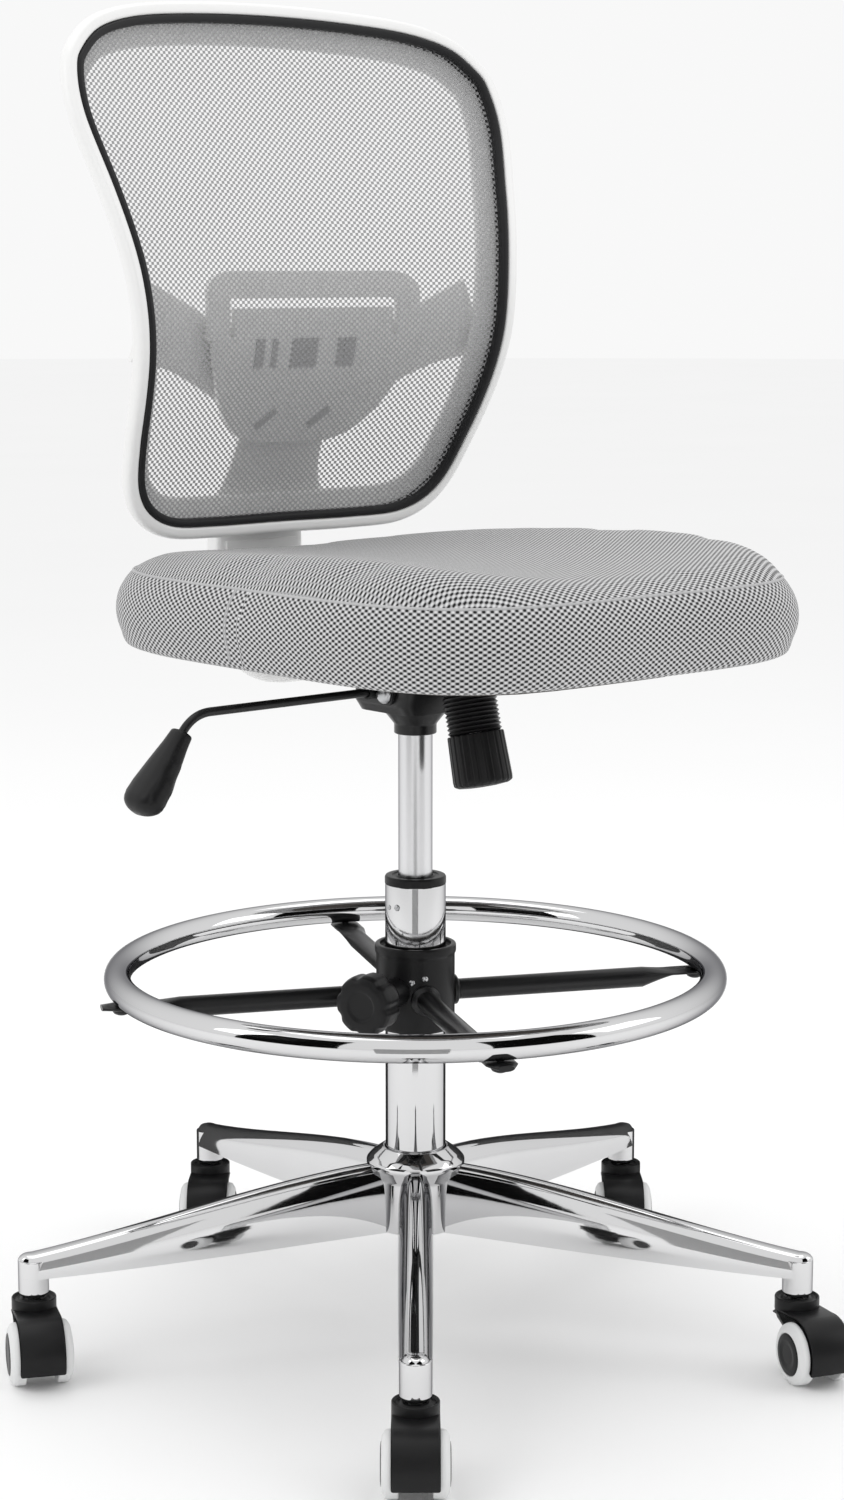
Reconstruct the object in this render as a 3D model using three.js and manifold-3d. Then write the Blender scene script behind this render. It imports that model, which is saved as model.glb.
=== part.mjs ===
// A drafting chair: a five-star base on twin-wheel casters, a gas lift in a tall column with a
// clamped foot ring, a tilting seat mechanism, a padded seat and a mesh back on a curved upright.
// Millimetres, +Z up, the origin on the floor under the column's axis. The sitter faces -Y.
import * as THREE from "three";
import { mergeVertices } from "three/addons/utils/BufferGeometryUtils.js";
import Module from "manifold-3d";

const wasm = await Module();
wasm.setup();

// Running clearance between pieces that meet.
const GAP = 0.3;
const STEEL_WALL = 1.8;

// Five-star base.
const ARMS = 5;
const ARM_PITCH_DEG = 360 / ARMS;
const FIRST_ARM_DEG = 229;
const STEM_CIRCLE_R = 324;
const ARM_WIDTH = 29;
const HUB = { r: 34, bottom: 88, top: 145, skirtR: 41, neckR: 28, neckTop: 157 };
const SOCKET = { r: 12.3, bottom: 62, top: 96 };

// Twin-wheel casters.
const WHEEL_R = 25;
const WHEEL_IN = 12.4;
const WHEEL_OUT = 25.5;
const TRAIL = 32;
const HOOD_WIDTH = 36;
const STEM_R = 5.5;
const AXLE_R = 3;
const TRAIL_DEG = [229, 250, 229, 229, 243];

// Column and gas lift.
const TUBE = { r: 25, bottom: 89, top: 380 };
const CYLINDER = { r: 14, bottom: 215, shoulder: 506, top: 530, tipR: 13.4, boreR: 12 };
const ROD_R = 5;
const BUTTON = { r: 4, top: 538.3, flangeR: 7 };

// Foot ring.
const RING = { r: 245.5, tubeR: 11, z: 305 };
const COLLAR = { r: 32.5, boreR: 25.45, bottom: 259, top: 330 };
const SPOKE = { r: 8.5, z: 288, firstDeg: -26, count: 4, tongue: 4.4 };
const CLAMP = { deg: 199, z: 294, knobR: 25, knobFrom: 61.5, knobTo: 88.5, studR: 5 };

// Seat mechanism.
const PIVOT = { y: -15, z: 543 };
const HOUSING = { half: 42, bottom: 525, top: 562.5, back: 32, front: -100, wall: 2.5, backTop: 551,
  noseLow: { y: -39, z: 545.5 }, noseHigh: { z: 560 }, chamfer: 7, chamferTop: 534 };
const CONE = { low: 505, neckR: 17.2, topR: 27, boreR: 14.5 };
const LEVER = { z: 543, rodR: 3.5, inner: 12, bend: -212, droopDeg: 53 };
const BUSH = { from: -52, to: -38 };
const TENSION = { y: -70, z: 525, leanDeg: -14, boltR: 5, springR: 22, knobR: 25 };

// Seat.
const SEAT = { y: -46, halfDepth: 240, halfWidth: 219, squareness: 3.7, bottom: 577, seam: 638 };
const CROWN = 20;
const PLATE = { bottom: 565.3, thick: 3, halfWidth: 75, front: -104, back: 100 };
const PAN = { bottom: 568.6, top: 581, inset: 62 };

// Back.
const BACK = { bottom: 655, top: 1098, lumbarZ: 840, lumbarY: 122, topY: 191, bottomY: 176 };
const BACK_WRAP = 16;
const BACK_WAIST = 180;
const BACK_STATIONS = 44;
const FRAME = { band: 10, flange: 31, step: 12.3, deep: 20, front: -6, edgeBack: 4 };
const PAD = { bottom: 735, top: 877, front: 6.3, thick: 6 };
const BRACKET = { front: 18.4, thick: 6.6 };
const UPRIGHT = { half: 46, thick: 22, tongueTop: 712 };

const rad = THREE.MathUtils.degToRad;

// A closed geometry as a solid, with doubled vertices merged and faces turned outwards.
function solid(geometry) {
  const bare = new THREE.BufferGeometry();
  bare.setAttribute("position", geometry.getAttribute("position"));
  bare.setIndex(geometry.index);
  const merged = mergeVertices(bare, 1e-4);
  const triVerts = [];
  for (let i = 0; i < merged.index.count; i += 3) {
    const [a, b, c] = merged.index.array.slice(i, i + 3);
    if (a !== b && b !== c && c !== a) triVerts.push(a, b, c);
  }
  const build = (faces) =>
    new wasm.Manifold(
      new wasm.Mesh({
        numProp: 3,
        vertProperties: merged.attributes.position.array,
        triVerts: new Uint32Array(faces),
      }),
    );
  const made = build(triVerts);
  return made.volume() > 0 ? made : build(triVerts.reverse());
}

// A named mesh of one solid.
function piece(name, body, material) {
  const geometry = new THREE.BufferGeometry();
  const { vertProperties, triVerts } = body.getMesh();
  geometry.setAttribute("position", new THREE.BufferAttribute(vertProperties, 3));
  geometry.setIndex(new THREE.BufferAttribute(triVerts, 1));
  geometry.computeVertexNormals();
  const mesh = new THREE.Mesh(geometry, material);
  mesh.name = name;
  return mesh;
}

// A profile of [radius, height] points turned about Z; it closes on itself unless it meets the axis.
function turned(profile, sides = 24) {
  const points = profile.map(([r, z]) => new THREE.Vector2(r, z));
  if (profile[0][0] > 0) points.push(points[0].clone());
  return solid(new THREE.LatheGeometry(points, sides).rotateX(Math.PI / 2));
}

// The same, about X.
function turnedX(profile, sides) {
  return turned(profile, sides).rotate([0, 90, 0]);
}

// A round bar between two points.
function bar(from, to, radius, sides = 16) {
  const a = new THREE.Vector3(...from);
  const b = new THREE.Vector3(...to);
  const along = b.clone().sub(a);
  const geometry = new THREE.CylinderGeometry(radius, radius, along.length(), sides);
  const turn = new THREE.Quaternion().setFromUnitVectors(
    new THREE.Vector3(0, 1, 0),
    along.clone().normalize(),
  );
  geometry.applyQuaternion(turn);
  geometry.translate(...a.add(b).multiplyScalar(0.5).toArray());
  return solid(geometry);
}

// A box between two corners.
function block([x0, y0, z0], [x1, y1, z1]) {
  const geometry = new THREE.BoxGeometry(x1 - x0, y1 - y0, z1 - z0);
  geometry.translate((x0 + x1) / 2, (y0 + y1) / 2, (z0 + z1) / 2);
  return solid(geometry);
}

// An outline in the YZ plane pushed along X, centred on X = 0.
function slabX(outline, width) {
  const shape = new THREE.Shape(outline.map(([y, z]) => new THREE.Vector2(y, z)));
  const geometry = new THREE.ExtrudeGeometry(shape, { depth: width, bevelEnabled: false });
  geometry.translate(0, 0, -width / 2);
  geometry.applyMatrix4(new THREE.Matrix4().set(0, 0, 1, 0, 1, 0, 0, 0, 0, 1, 0, 0, 0, 0, 0, 1));
  return solid(geometry);
}

// An outline in the XZ plane pushed along Y between two depths.
function slabY(outline, from, to) {
  const shape = new THREE.Shape(outline.map(([x, z]) => new THREE.Vector2(x, z)));
  const geometry = new THREE.ExtrudeGeometry(shape, { depth: to - from, bevelEnabled: false });
  geometry.applyMatrix4(new THREE.Matrix4().set(1, 0, 0, 0, 0, 0, 1, from, 0, 1, 0, 0, 0, 0, 0, 1));
  return solid(geometry);
}

// A skin through rings of equal point count. A looped skin joins its last ring to its first;
// an open one closes each end with a fan from the ring's middle.
function loft(rings, looped = false) {
  const count = rings[0].length;
  const points = rings.flat();
  const faces = [];
  const spans = looped ? rings.length : rings.length - 1;
  for (let i = 0; i < spans; i++) {
    const next = (i + 1) % rings.length;
    for (let j = 0; j < count; j++) {
      const k = (j + 1) % count;
      const [a, b, c, d] = [i * count + j, i * count + k, next * count + k, next * count + j];
      faces.push(a, b, c, a, c, d);
    }
  }
  if (!looped) {
    for (const [ring, flip] of [[0, true], [rings.length - 1, false]]) {
      const middle = rings[ring]
        .reduce((sum, p) => sum.map((v, i) => v + p[i]), [0, 0, 0])
        .map((v) => v / count);
      points.push(middle);
      for (let j = 0; j < count; j++) {
        const [a, b] = [ring * count + j, ring * count + ((j + 1) % count)];
        faces.push(points.length - 1, flip ? b : a, flip ? a : b);
      }
    }
  }
  const geometry = new THREE.BufferGeometry();
  geometry.setAttribute("position", new THREE.Float32BufferAttribute(points.flat(), 3));
  geometry.setIndex(faces);
  return solid(geometry);
}

const join = (first, ...rest) => rest.reduce((sum, part) => sum.add(part), first);
const cut = (first, ...rest) => rest.reduce((left, part) => left.subtract(part), first);

function paint(hex, roughness, metalness = 0) {
  return new THREE.MeshStandardMaterial({ color: hex, roughness, metalness });
}

const finish = {
  chrome: paint(0xd9dbde, 0.08, 1),
  satinChrome: paint(0xc4c6c8, 0.3, 1),
  steel: paint(0xa9abad, 0.35, 1),
  blackSteel: paint(0x1d1d1e, 0.4, 0.3),
  blackPlastic: paint(0x1e1f20, 0.45),
  whitePlastic: paint(0xececea, 0.4),
  tyre: paint(0xdfe0e0, 0.5),
  gasket: paint(0x232324, 0.6),
  fabric: paint(0x9b9c9d, 0.9),
  mesh: paint(0xa4a5a6, 0.8),
  wood: paint(0xb99a6b, 0.7),
  brass: paint(0xb59a54, 0.35, 1),
};

// One arm along +X: an upside-down channel that tapers from the hub to its caster socket.
function armSolid() {
  const stations = [[22, 88, 145, ARM_WIDTH], [70, 86, 141, ARM_WIDTH],
    [190, 81, 121, 28], [STEM_CIRCLE_R, 76, SOCKET.top, 23]];
  const ring = (x, low, high, width, inset) => {
    const half = width / 2 - inset;
    const top = high - inset;
    const base = inset ? low - 10 : low;
    return [[x, -half, base], [x, half, base], [x, half, top - 9], [x, half * 0.5, top],
      [x, -half * 0.5, top], [x, -half, top - 9]];
  };
  const outer = loft(stations.map((s) => ring(...s, 0)));
  const hollow = stations.map(([x, low, high, width], i) =>
    ring(i === 0 ? HUB.r : Math.min(x, STEM_CIRCLE_R - SOCKET.r), low, high, width, 3),
  );
  return cut(outer, loft(hollow));
}

function starBase() {
  const socket = bar([STEM_CIRCLE_R, 0, SOCKET.bottom], [STEM_CIRCLE_R, 0, SOCKET.top - 0.5], SOCKET.r, 14);
  const stemHole = bar([STEM_CIRCLE_R, 0, 50], [STEM_CIRCLE_R, 0, 90], STEM_R + GAP, 10);
  const arm = cut(join(armSolid(), socket), stemHole);
  const hub = turned([[0, HUB.bottom], [HUB.r, HUB.bottom], [HUB.r, 132], [HUB.skirtR, HUB.top],
    [HUB.neckR, HUB.neckTop], [0, HUB.neckTop]], 20);
  const arms = [];
  for (let i = 0; i < ARMS; i++) arms.push(arm.rotate([0, 0, FIRST_ARM_DEG + i * ARM_PITCH_DEG]));
  const bore = bar([0, 0, 70], [0, 0, 170], TUBE.r + GAP, 24);
  return piece("star_base", cut(join(hub, ...arms), bore), finish.chrome);
}

// A caster's hood: a mudguard round both wheels and a web between them, under a round neck.
function casterHood() {
  const guardR = WHEEL_R + 3.4;
  const outline = [];
  for (let deg = 203; deg >= 112; deg -= 18.2) {
    outline.push([-TRAIL + guardR * Math.cos(rad(deg)), WHEEL_R + guardR * Math.sin(rad(deg))]);
  }
  outline.push([-17, 61], [17, 61], [17, 55], [11, 44], [-3, 30], [-5, 18]);
  const well = (from, to) => bar([from, -TRAIL, WHEEL_R], [to, -TRAIL, WHEEL_R], WHEEL_R + 1.4, 18);
  const neckCut = cut(
    block([-40, -40, 48], [40, 40, 70]),
    bar([0, 0, 47], [0, 0, 71], HOOD_WIDTH / 2, 18),
    block([-41, -41, 47], [41, -6, 71]),
  );
  const body = cut(
    slabX(outline, HOOD_WIDTH),
    well(WHEEL_IN - 0.6, 30),
    well(-30, -WHEEL_IN + 0.6),
    neckCut,
    bar([0, 0, 37], [0, 0, 70], STEM_R + GAP, 10),
    bar([-30, -TRAIL, WHEEL_R], [30, -TRAIL, WHEEL_R], AXLE_R + GAP, 8),
  );
  return body;
}

function casterWheel() {
  return turnedX([[AXLE_R + 0.25, WHEEL_IN], [WHEEL_R, WHEEL_IN], [WHEEL_R, 21], [18, WHEEL_OUT],
    [0, WHEEL_OUT], [0, 23.6], [AXLE_R + 0.25, 23.6]], 20);
}

// The plain pressed-in stem.
function casterStem() {
  return turned([[0, 38], [STEM_R, 38], [STEM_R, 88], [STEM_R - 1.5, 89.6], [0, 89.6]], 10);
}

function caster(index) {
  const group = new THREE.Group();
  const at = rad(FIRST_ARM_DEG + index * ARM_PITCH_DEG);
  group.position.set(STEM_CIRCLE_R * Math.cos(at), STEM_CIRCLE_R * Math.sin(at), 0);
  group.rotation.z = rad(TRAIL_DEG[index] + 90);
  const id = index + 1;
  const axle = bar([-23.2, 0, 0], [23.2, 0, 0], AXLE_R, 8);
  const onAxle = (name, body, material) => {
    const mesh = piece(name, body, material);
    mesh.position.set(0, -TRAIL, WHEEL_R);
    return mesh;
  };
  group.add(
    piece(`caster_stem_${id}`, casterStem(), finish.steel),
    piece(`caster_hood_${id}`, casterHood(), finish.blackPlastic),
    onAxle(`caster_axle_${id}`, axle, finish.steel),
    onAxle(`caster_wheel_left_${id}`, casterWheel(), finish.tyre),
    onAxle(`caster_wheel_right_${id}`, casterWheel().rotate([0, 0, 180]), finish.tyre),
  );
  return group;
}

function columnPieces() {
  const wall = TUBE.r - STEEL_WALL;
  const floor = TUBE.bottom + 6;
  const tube = turned([[ROD_R + 0.7, TUBE.bottom], [TUBE.r, TUBE.bottom], [TUBE.r, TUBE.top],
    [wall, TUBE.top], [wall, floor], [ROD_R + 0.7, floor]], 24);
  const lip = TUBE.top + GAP;
  const bushing = turned([[14.5, 330], [wall - GAP, 330], [wall - GAP, lip], [TUBE.r + 0.3, lip],
    [TUBE.r - 0.4, 387], [14.5, 387]], 24);
  return [
    piece("column_tube", tube, finish.chrome),
    piece("guide_bushing", bushing, finish.blackPlastic),
  ];
}

// The rod's collar stands on the tube's floor; the cylinder slides over the rod's piston.
function gasLiftPieces() {
  const rod = turned([[0, 84], [ROD_R, 84], [ROD_R, 95.4], [14, 95.4], [14, 103], [ROD_R, 103],
    [ROD_R, 340], [11.6, 340], [11.6, 352], [0, 352]], 16);
  const { r, bottom, shoulder, top, tipR, boreR } = CYLINDER;
  const cylinder = turned([[ROD_R + 0.3, bottom], [r, bottom], [r, shoulder], [tipR, top],
    [BUTTON.r + 0.4, top], [BUTTON.r + 0.4, top - 8], [boreR, top - 8], [boreR, bottom + 11],
    [ROD_R + 0.3, bottom + 11]], 20);
  const button = turned([[0, 517], [BUTTON.flangeR, 517], [BUTTON.flangeR, 521.7],
    [BUTTON.r, 521.7], [BUTTON.r, BUTTON.top], [0, BUTTON.top]], 12);
  return [
    piece("piston_rod", rod, finish.steel),
    piece("gas_cylinder", cylinder, finish.satinChrome),
    piece("release_button", button, finish.brass),
  ];
}

// A hollow ring bent from tube, with a screw hole from below at each spoke.
function footRing() {
  let ring = cut(
    solid(new THREE.TorusGeometry(RING.r, RING.tubeR, 8, 44)),
    solid(new THREE.TorusGeometry(RING.r, RING.tubeR - STEEL_WALL, 4, 44)),
  );
  for (let i = 0; i < SPOKE.count; i++) {
    const at = rad(SPOKE.firstDeg + i * 90);
    const [x, y] = [RING.r * Math.cos(at), RING.r * Math.sin(at)];
    ring = cut(ring, bar([x, y, -14], [x, y, -5], 3.3, 8));
  }
  return piece("foot_ring", ring, finish.chrome);
}

// A spoke along +X, round at the collar and pressed flat under the ring.
function spokeSolid() {
  const flatZ = RING.z - RING.tubeR - GAP - SPOKE.tongue / 2 - SPOKE.z;
  const ring = (x, half, tall, z) => {
    const points = [];
    for (let i = 0; i < 8; i++) {
      const a = ((i + 0.5) / 8) * 2 * Math.PI;
      points.push([x, half * Math.cos(a), z + tall * Math.sin(a)]);
    }
    return points;
  };
  const tube = loft([
    ring(COLLAR.r + GAP, SPOKE.r, SPOKE.r, 0),
    ring(200, SPOKE.r, SPOKE.r, 0),
    ring(216, SPOKE.r * 1.25, SPOKE.r * 0.55, flatZ * 0.6),
    ring(228, SPOKE.r * 1.5, SPOKE.tongue / 2, flatZ),
    ring(250, SPOKE.r * 1.5, SPOKE.tongue / 2, flatZ),
    ring(257, SPOKE.r * 0.8, SPOKE.tongue / 2, flatZ),
  ]);
  return cut(
    tube,
    bar([COLLAR.r - 5, 0, 0], [190, 0, 0], SPOKE.r - 2 * STEEL_WALL, 8),
    bar([RING.r, 0, -20], [RING.r, 0, 30], 3.3, 8),
  );
}

// The domed screw that comes up through the tongue into the ring.
function ringScrew() {
  const seat = RING.z - RING.tubeR - 2 * GAP - SPOKE.tongue - SPOKE.z;
  return turned([[0, seat - 4.6], [7.5, seat - 1.4], [7.5, seat], [2.9, seat],
    [2.9, 14.5], [0, 14.5]], 8);
}

function ringCollar() {
  const boss = bar([COLLAR.r - 4, 0, CLAMP.z], [48, 0, CLAMP.z], 12, 12).rotate([0, 0, CLAMP.deg]);
  const studHole = bar([20, 0, CLAMP.z], [60, 0, CLAMP.z], CLAMP.studR + GAP, 10).rotate([0, 0, CLAMP.deg]);
  const { r, bottom, top } = COLLAR;
  const sleeve = turned([[0, bottom], [r - 1.5, bottom], [r, bottom + 3], [r, top - 3], [r - 1.5, top],
    [0, top]], 24);
  const bore = bar([0, 0, bottom - 5], [0, 0, top + 5], COLLAR.boreR, 24);
  return piece("foot_ring_collar", cut(join(sleeve, boss), bore, studHole), finish.blackPlastic);
}

// The lobed clamping knob and the stud moulded into it, along +X.
function clampKnob() {
  const { knobR, knobFrom, knobTo, studR, z } = CLAMP;
  const lobes = 8;
  const ring = (x, scale) => {
    const points = [];
    for (let i = 0; i < lobes * 3; i++) {
      const a = (i / (lobes * 3)) * 2 * Math.PI;
      const r = scale * (knobR - 1.8 + 1.8 * Math.cos(lobes * a));
      points.push([x, r * Math.cos(a), z + r * Math.sin(a)]);
    }
    return points;
  };
  const grip = loft([ring(knobFrom, 0.8), ring(knobFrom + 4, 1), ring(knobTo - 5, 1), ring(knobTo, 0.82)]);
  const stud = bar([TUBE.r + 0.8, 0, z], [knobFrom + 2, 0, z], studR, 10);
  const knob = piece("clamp_knob", join(grip, stud), finish.blackPlastic);
  knob.rotation.z = rad(CLAMP.deg);
  return knob;
}

function footRingPieces() {
  const ring = footRing();
  ring.position.z = RING.z;
  const pieces = [ring, ringCollar(), clampKnob()];
  for (let i = 0; i < SPOKE.count; i++) {
    const group = new THREE.Group();
    group.position.z = SPOKE.z;
    group.rotation.z = rad(SPOKE.firstDeg + i * 90);
    const screw = piece(`foot_ring_screw_${i + 1}`, ringScrew(), finish.blackSteel);
    screw.position.x = RING.r;
    group.add(piece(`foot_ring_spoke_${i + 1}`, spokeSolid(), finish.blackSteel), screw);
    pieces.push(group);
  }
  return pieces;
}

// The pressed housing: a deep box on the cylinder's tip and a shallow nose over the spring.
function tiltHousing() {
  const { half, bottom, top, back, front, wall, backTop, noseLow, noseHigh, chamferTop, chamfer } = HOUSING;
  const open = 9;
  const side = (w) => [[back - w, bottom + w], [back - w, backTop + open * (w > 0)], [PIVOT.y, top + open * (w > 0)],
    [front + w, top + open * (w > 0)], [front + w, noseHigh.z + w], [noseLow.y + w, noseLow.z + w],
    [noseLow.y + 6 + w, bottom + w]];
  const face = (w) => [[-half + w, top + 20], [-half + w, chamferTop + w * 0.4], [-half + chamfer + w, bottom + w],
    [half - chamfer - w, bottom + w], [half - w, chamferTop + w * 0.4], [half - w, top + 20]];
  const shell = (w) => slabX(side(w), 2 * half).intersect(slabY(face(w), front - 5, back + 5));
  const cone = turned([[0, CONE.low], [CONE.neckR, CONE.low], [CONE.neckR, CONE.low + 8.5], [CONE.topR, bottom + 0.5],
    [CONE.topR, bottom + wall], [0, bottom + wall]], 20);
  const taper = turned([[0, CONE.low - 1], [CONE.boreR, CONE.low - 1], [CONE.boreR - 0.6, 528.5], [0, 528.5]], 20);
  const leanAxis = new THREE.Vector3(0, 0, 1).applyAxisAngle(new THREE.Vector3(1, 0, 0), rad(TENSION.leanDeg));
  const boltAt = (s) => [0, TENSION.y + leanAxis.y * s, TENSION.z + leanAxis.z * s];
  const body = cut(
    join(cut(shell(0), shell(wall)), cone),
    taper,
    bar([-60, PIVOT.y, PIVOT.z], [60, PIVOT.y, PIVOT.z], 5.4, 16),
    bar([-60, 0, LEVER.z], [-20, 0, LEVER.z], 7.2, 16),
    bar(boltAt(10), boltAt(50), TENSION.boltR + 0.6, 12),
  );
  return piece("tilt_housing", body, finish.blackSteel);
}

// The plate under the seat, with an ear each side down to the tilt axle. The ears' rear edges clear the
// lever's bush when the seat tilts back.
function seatPlate() {
  const { bottom, thick, halfWidth, front, back } = PLATE;
  const inner = HOUSING.half + 0.7;
  const ear = slabX([[PIVOT.y - 14, bottom + 1], [PIVOT.y - 9, PIVOT.z - 4], [PIVOT.y - 5, PIVOT.z - 9],
    [PIVOT.y + 4, PIVOT.z - 9], [PIVOT.y + 7.5, PIVOT.z - 4], [PIVOT.y + 7.5, PIVOT.z + 10],
    [PIVOT.y + 14, bottom + 1]], 3);
  const body = cut(
    join(
      block([-halfWidth, front, bottom], [halfWidth, back, bottom + thick]),
      ear.translate([inner + 1.5, 0, 0]),
      ear.translate([-inner - 1.5, 0, 0]),
    ),
    bar([-60, PIVOT.y, PIVOT.z], [60, PIVOT.y, PIVOT.z], 5.5, 16),
  );
  return piece("seat_plate", body, finish.blackSteel);
}

function tiltAxle() {
  const head = HOUSING.half + 4.1;
  const shaft = turnedX([[0, -head - 4], [8, -head - 1], [8, -head], [5, -head], [5, head], [8, head],
    [8, head + 1], [0, head + 4]], 12);
  const axle = piece("tilt_axle", shaft, finish.steel);
  axle.position.set(0, PIVOT.y, PIVOT.z);
  return axle;
}

// Bolt, ribbed spring and fluted knob, stacked along a leaning axis.
function tensionPieces() {
  const { boltR, springR, knobR } = TENSION;
  const bolt = turned([[0, -46], [boltR, -46], [boltR, 30.8], [8.5, 30.8], [8.5, 35], [0, 35]], 12);
  const springTop = 26.5;
  const springBottom = -12;
  const ribs = 4;
  const pitch = (springTop - springBottom) / ribs;
  const outer = [];
  for (let i = 0; i < ribs; i++) {
    const z = springBottom + i * pitch;
    outer.push([springR, z], [springR - 1.6, z + pitch * 0.8]);
  }
  outer.push([springR, springTop]);
  const spring = turned([...outer, [springR - 5, springTop], [springR - 5, springBottom]], 16);
  const flutes = 16;
  const ring = (z, scale) => {
    const points = [];
    for (let i = 0; i < flutes * 2; i++) {
      const a = (i / (flutes * 2)) * 2 * Math.PI;
      const r = scale * (i % 2 ? knobR - 0.9 : knobR);
      points.push([r * Math.cos(a), r * Math.sin(a), z]);
    }
    return points;
  };
  const knob = cut(
    loft([ring(-55, 0.84), ring(-52.5, 0.96), ring(-12.3, 0.92)]),
    bar([0, 0, -48], [0, 0, 0], boltR + 0.35, 14),
  );
  const group = new THREE.Group();
  group.position.set(0, TENSION.y, TENSION.z);
  group.rotation.x = rad(TENSION.leanDeg);
  group.add(
    piece("tension_bolt", bolt, finish.steel),
    piece("tension_spring", spring, finish.blackSteel),
    piece("tension_knob", knob, finish.blackPlastic),
  );
  return group;
}

// The release lever: a bent rod in a bush, with a paddle handle on its drooping end.
function leverPieces() {
  const { z, rodR, inner, bend, droopDeg } = LEVER;
  const frames = [[inner, z, 0], [bend, z, 0], [bend - 8, z - 1.6, 22], [bend - 15, z - 4.6, 40],
    [bend - 21, z - 9.6, droopDeg], [bend - 41, z - 36.2, droopDeg]];
  const rod = loft(frames.map(([x, height, deg]) => {
    const points = [];
    for (let i = 0; i < 12; i++) {
      const a = (i / 12) * 2 * Math.PI;
      const up = rodR * Math.sin(a);
      points.push([x - up * Math.sin(rad(deg)), rodR * Math.cos(a), height + up * Math.cos(rad(deg))]);
    }
    return points;
  }));
  const handleRing = (s, half, thick) => {
    const points = [];
    for (let i = 0; i < 16; i++) {
      const a = (i / 16) * 2 * Math.PI;
      const across = Math.sign(Math.cos(a)) * Math.abs(Math.cos(a)) ** 0.7 * half;
      const up = Math.sign(Math.sin(a)) * Math.abs(Math.sin(a)) ** 0.7 * thick;
      points.push([s, across, up]);
    }
    return points;
  };
  const grip = cut(
    loft([handleRing(0, 8.5, 7), handleRing(20, 12, 9), handleRing(45, 17, 11.5),
      handleRing(62, 19, 12), handleRing(69, 15, 9)]),
    bar([-5, 0, 0], [30, 0, 0], rodR + GAP, 12),
  );
  const handle = piece("lever_handle", grip, finish.blackPlastic);
  handle.position.set(bend - 24, 0, z - 13.6);
  handle.rotation.y = rad(180 - droopDeg);
  const bush = turnedX([[rodR + GAP, BUSH.from], [6, BUSH.from], [6, BUSH.to], [rodR + GAP, BUSH.to]], 16);
  const bushPiece = piece("lever_bush", bush, finish.blackPlastic);
  bushPiece.position.z = z;
  return [piece("lever_rod", rod, finish.blackSteel), handle, bushPiece];
}

// A rounded rectangle seen from above, at a height, grown or shrunk from the seat's own outline.
function seatOutline(grow, z, sides = 36) {
  const points = [];
  for (let i = 0; i < sides; i++) {
    const a = (i / sides) * 2 * Math.PI;
    const [c, s] = [Math.cos(a), Math.sin(a)];
    const r = (Math.abs(c) ** SEAT.squareness + Math.abs(s) ** SEAT.squareness) ** (-1 / SEAT.squareness);
    points.push([(SEAT.halfWidth + grow) * r * c, SEAT.y + (SEAT.halfDepth + grow) * r * s, z]);
  }
  return points;
}

function seatPieces() {
  const { bottom, seam } = SEAT;
  const pad = loft([
    seatOutline(-12, bottom), seatOutline(-3, bottom + 3), seatOutline(3, bottom + 16),
    seatOutline(4, bottom + 38), seatOutline(-3, seam), seatOutline(-20, seam + 0.5 * CROWN),
    seatOutline(-60, seam + 0.85 * CROWN), seatOutline(-120, seam + CROWN),
  ]);
  const pocket = loft([seatOutline(-PAN.inset + 0.5, bottom - 5), seatOutline(-PAN.inset + 0.5, PAN.top + GAP)]);
  const pan = loft([seatOutline(-PAN.inset, PAN.bottom), seatOutline(-PAN.inset, PAN.top)]);
  return [
    piece("seat_pan", pan, finish.wood),
    piece("seat_cushion", cut(pad, pocket), finish.fabric),
  ];
}

// How far back the back's middle lies at a height: furthest forward at the lumbar height.
function backMiddle(z) {
  const { bottom, top, lumbarZ, lumbarY, topY, bottomY } = BACK;
  const t = z > lumbarZ ? (z - lumbarZ) / (top - lumbarZ) : (lumbarZ - z) / (lumbarZ - bottom);
  const rise = (z > lumbarZ ? topY : bottomY) - lumbarY;
  return lumbarY + (rise * (1 - Math.cos(Math.PI * Math.min(t, 1)))) / 2;
}

// The back's surface: the middle line, with both sides wrapped forward.
function backSurface(x, z, behind = 0) {
  return backMiddle(z) - BACK_WRAP * (x / BACK_WAIST) ** 2 + behind;
}

// Half of the frame's outline, from the bottom middle round to the top middle.
const BACK_OUTLINE = [[0, 655], [75, 655], [124, 658], [156, 672], [176, 698], [187, 738], [194, 780],
  [199, 820], [206, 878], [218, 940], [230, 1000], [227, 1040], [215, 1060], [188, 1080], [143, 1092],
  [76, 1098], [0, 1100]];

// Stations round the closed outline: a point, the inward direction and the rearward direction.
function backStations(count) {
  const half = BACK_OUTLINE.map(([x, z]) => new THREE.Vector3(x, 0, z));
  const mirrored = half.slice(1, -1).reverse().map((p) => new THREE.Vector3(-p.x, 0, p.z));
  const curve = new THREE.CatmullRomCurve3([...half, ...mirrored], true, "centripetal");
  const stations = [];
  for (let i = 0; i < count; i++) {
    const p = curve.getPointAt(i / count);
    const along = curve.getTangentAt(i / count);
    const step = 1;
    const rear = new THREE.Vector3(
      backSurface(p.x - step, p.z) - backSurface(p.x + step, p.z),
      2 * step,
      backSurface(p.x, p.z - step) - backSurface(p.x, p.z + step),
    ).normalize();
    const inward = new THREE.Vector3(-along.z, 0, along.x);
    inward.addScaledVector(rear, -inward.dot(rear)).normalize();
    p.y = backSurface(p.x, p.z);
    stations.push({ p, inward, rear });
  }
  return stations;
}

// A bead of one section, in [inward, rearward] distances, run round the outline.
function backBead(section, count = BACK_STATIONS) {
  const rings = backStations(count).map(({ p, inward, rear }) =>
    section.map(([u, v]) => p.clone().addScaledVector(inward, u).addScaledVector(rear, v).toArray()),
  );
  return loft(rings, true);
}

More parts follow.
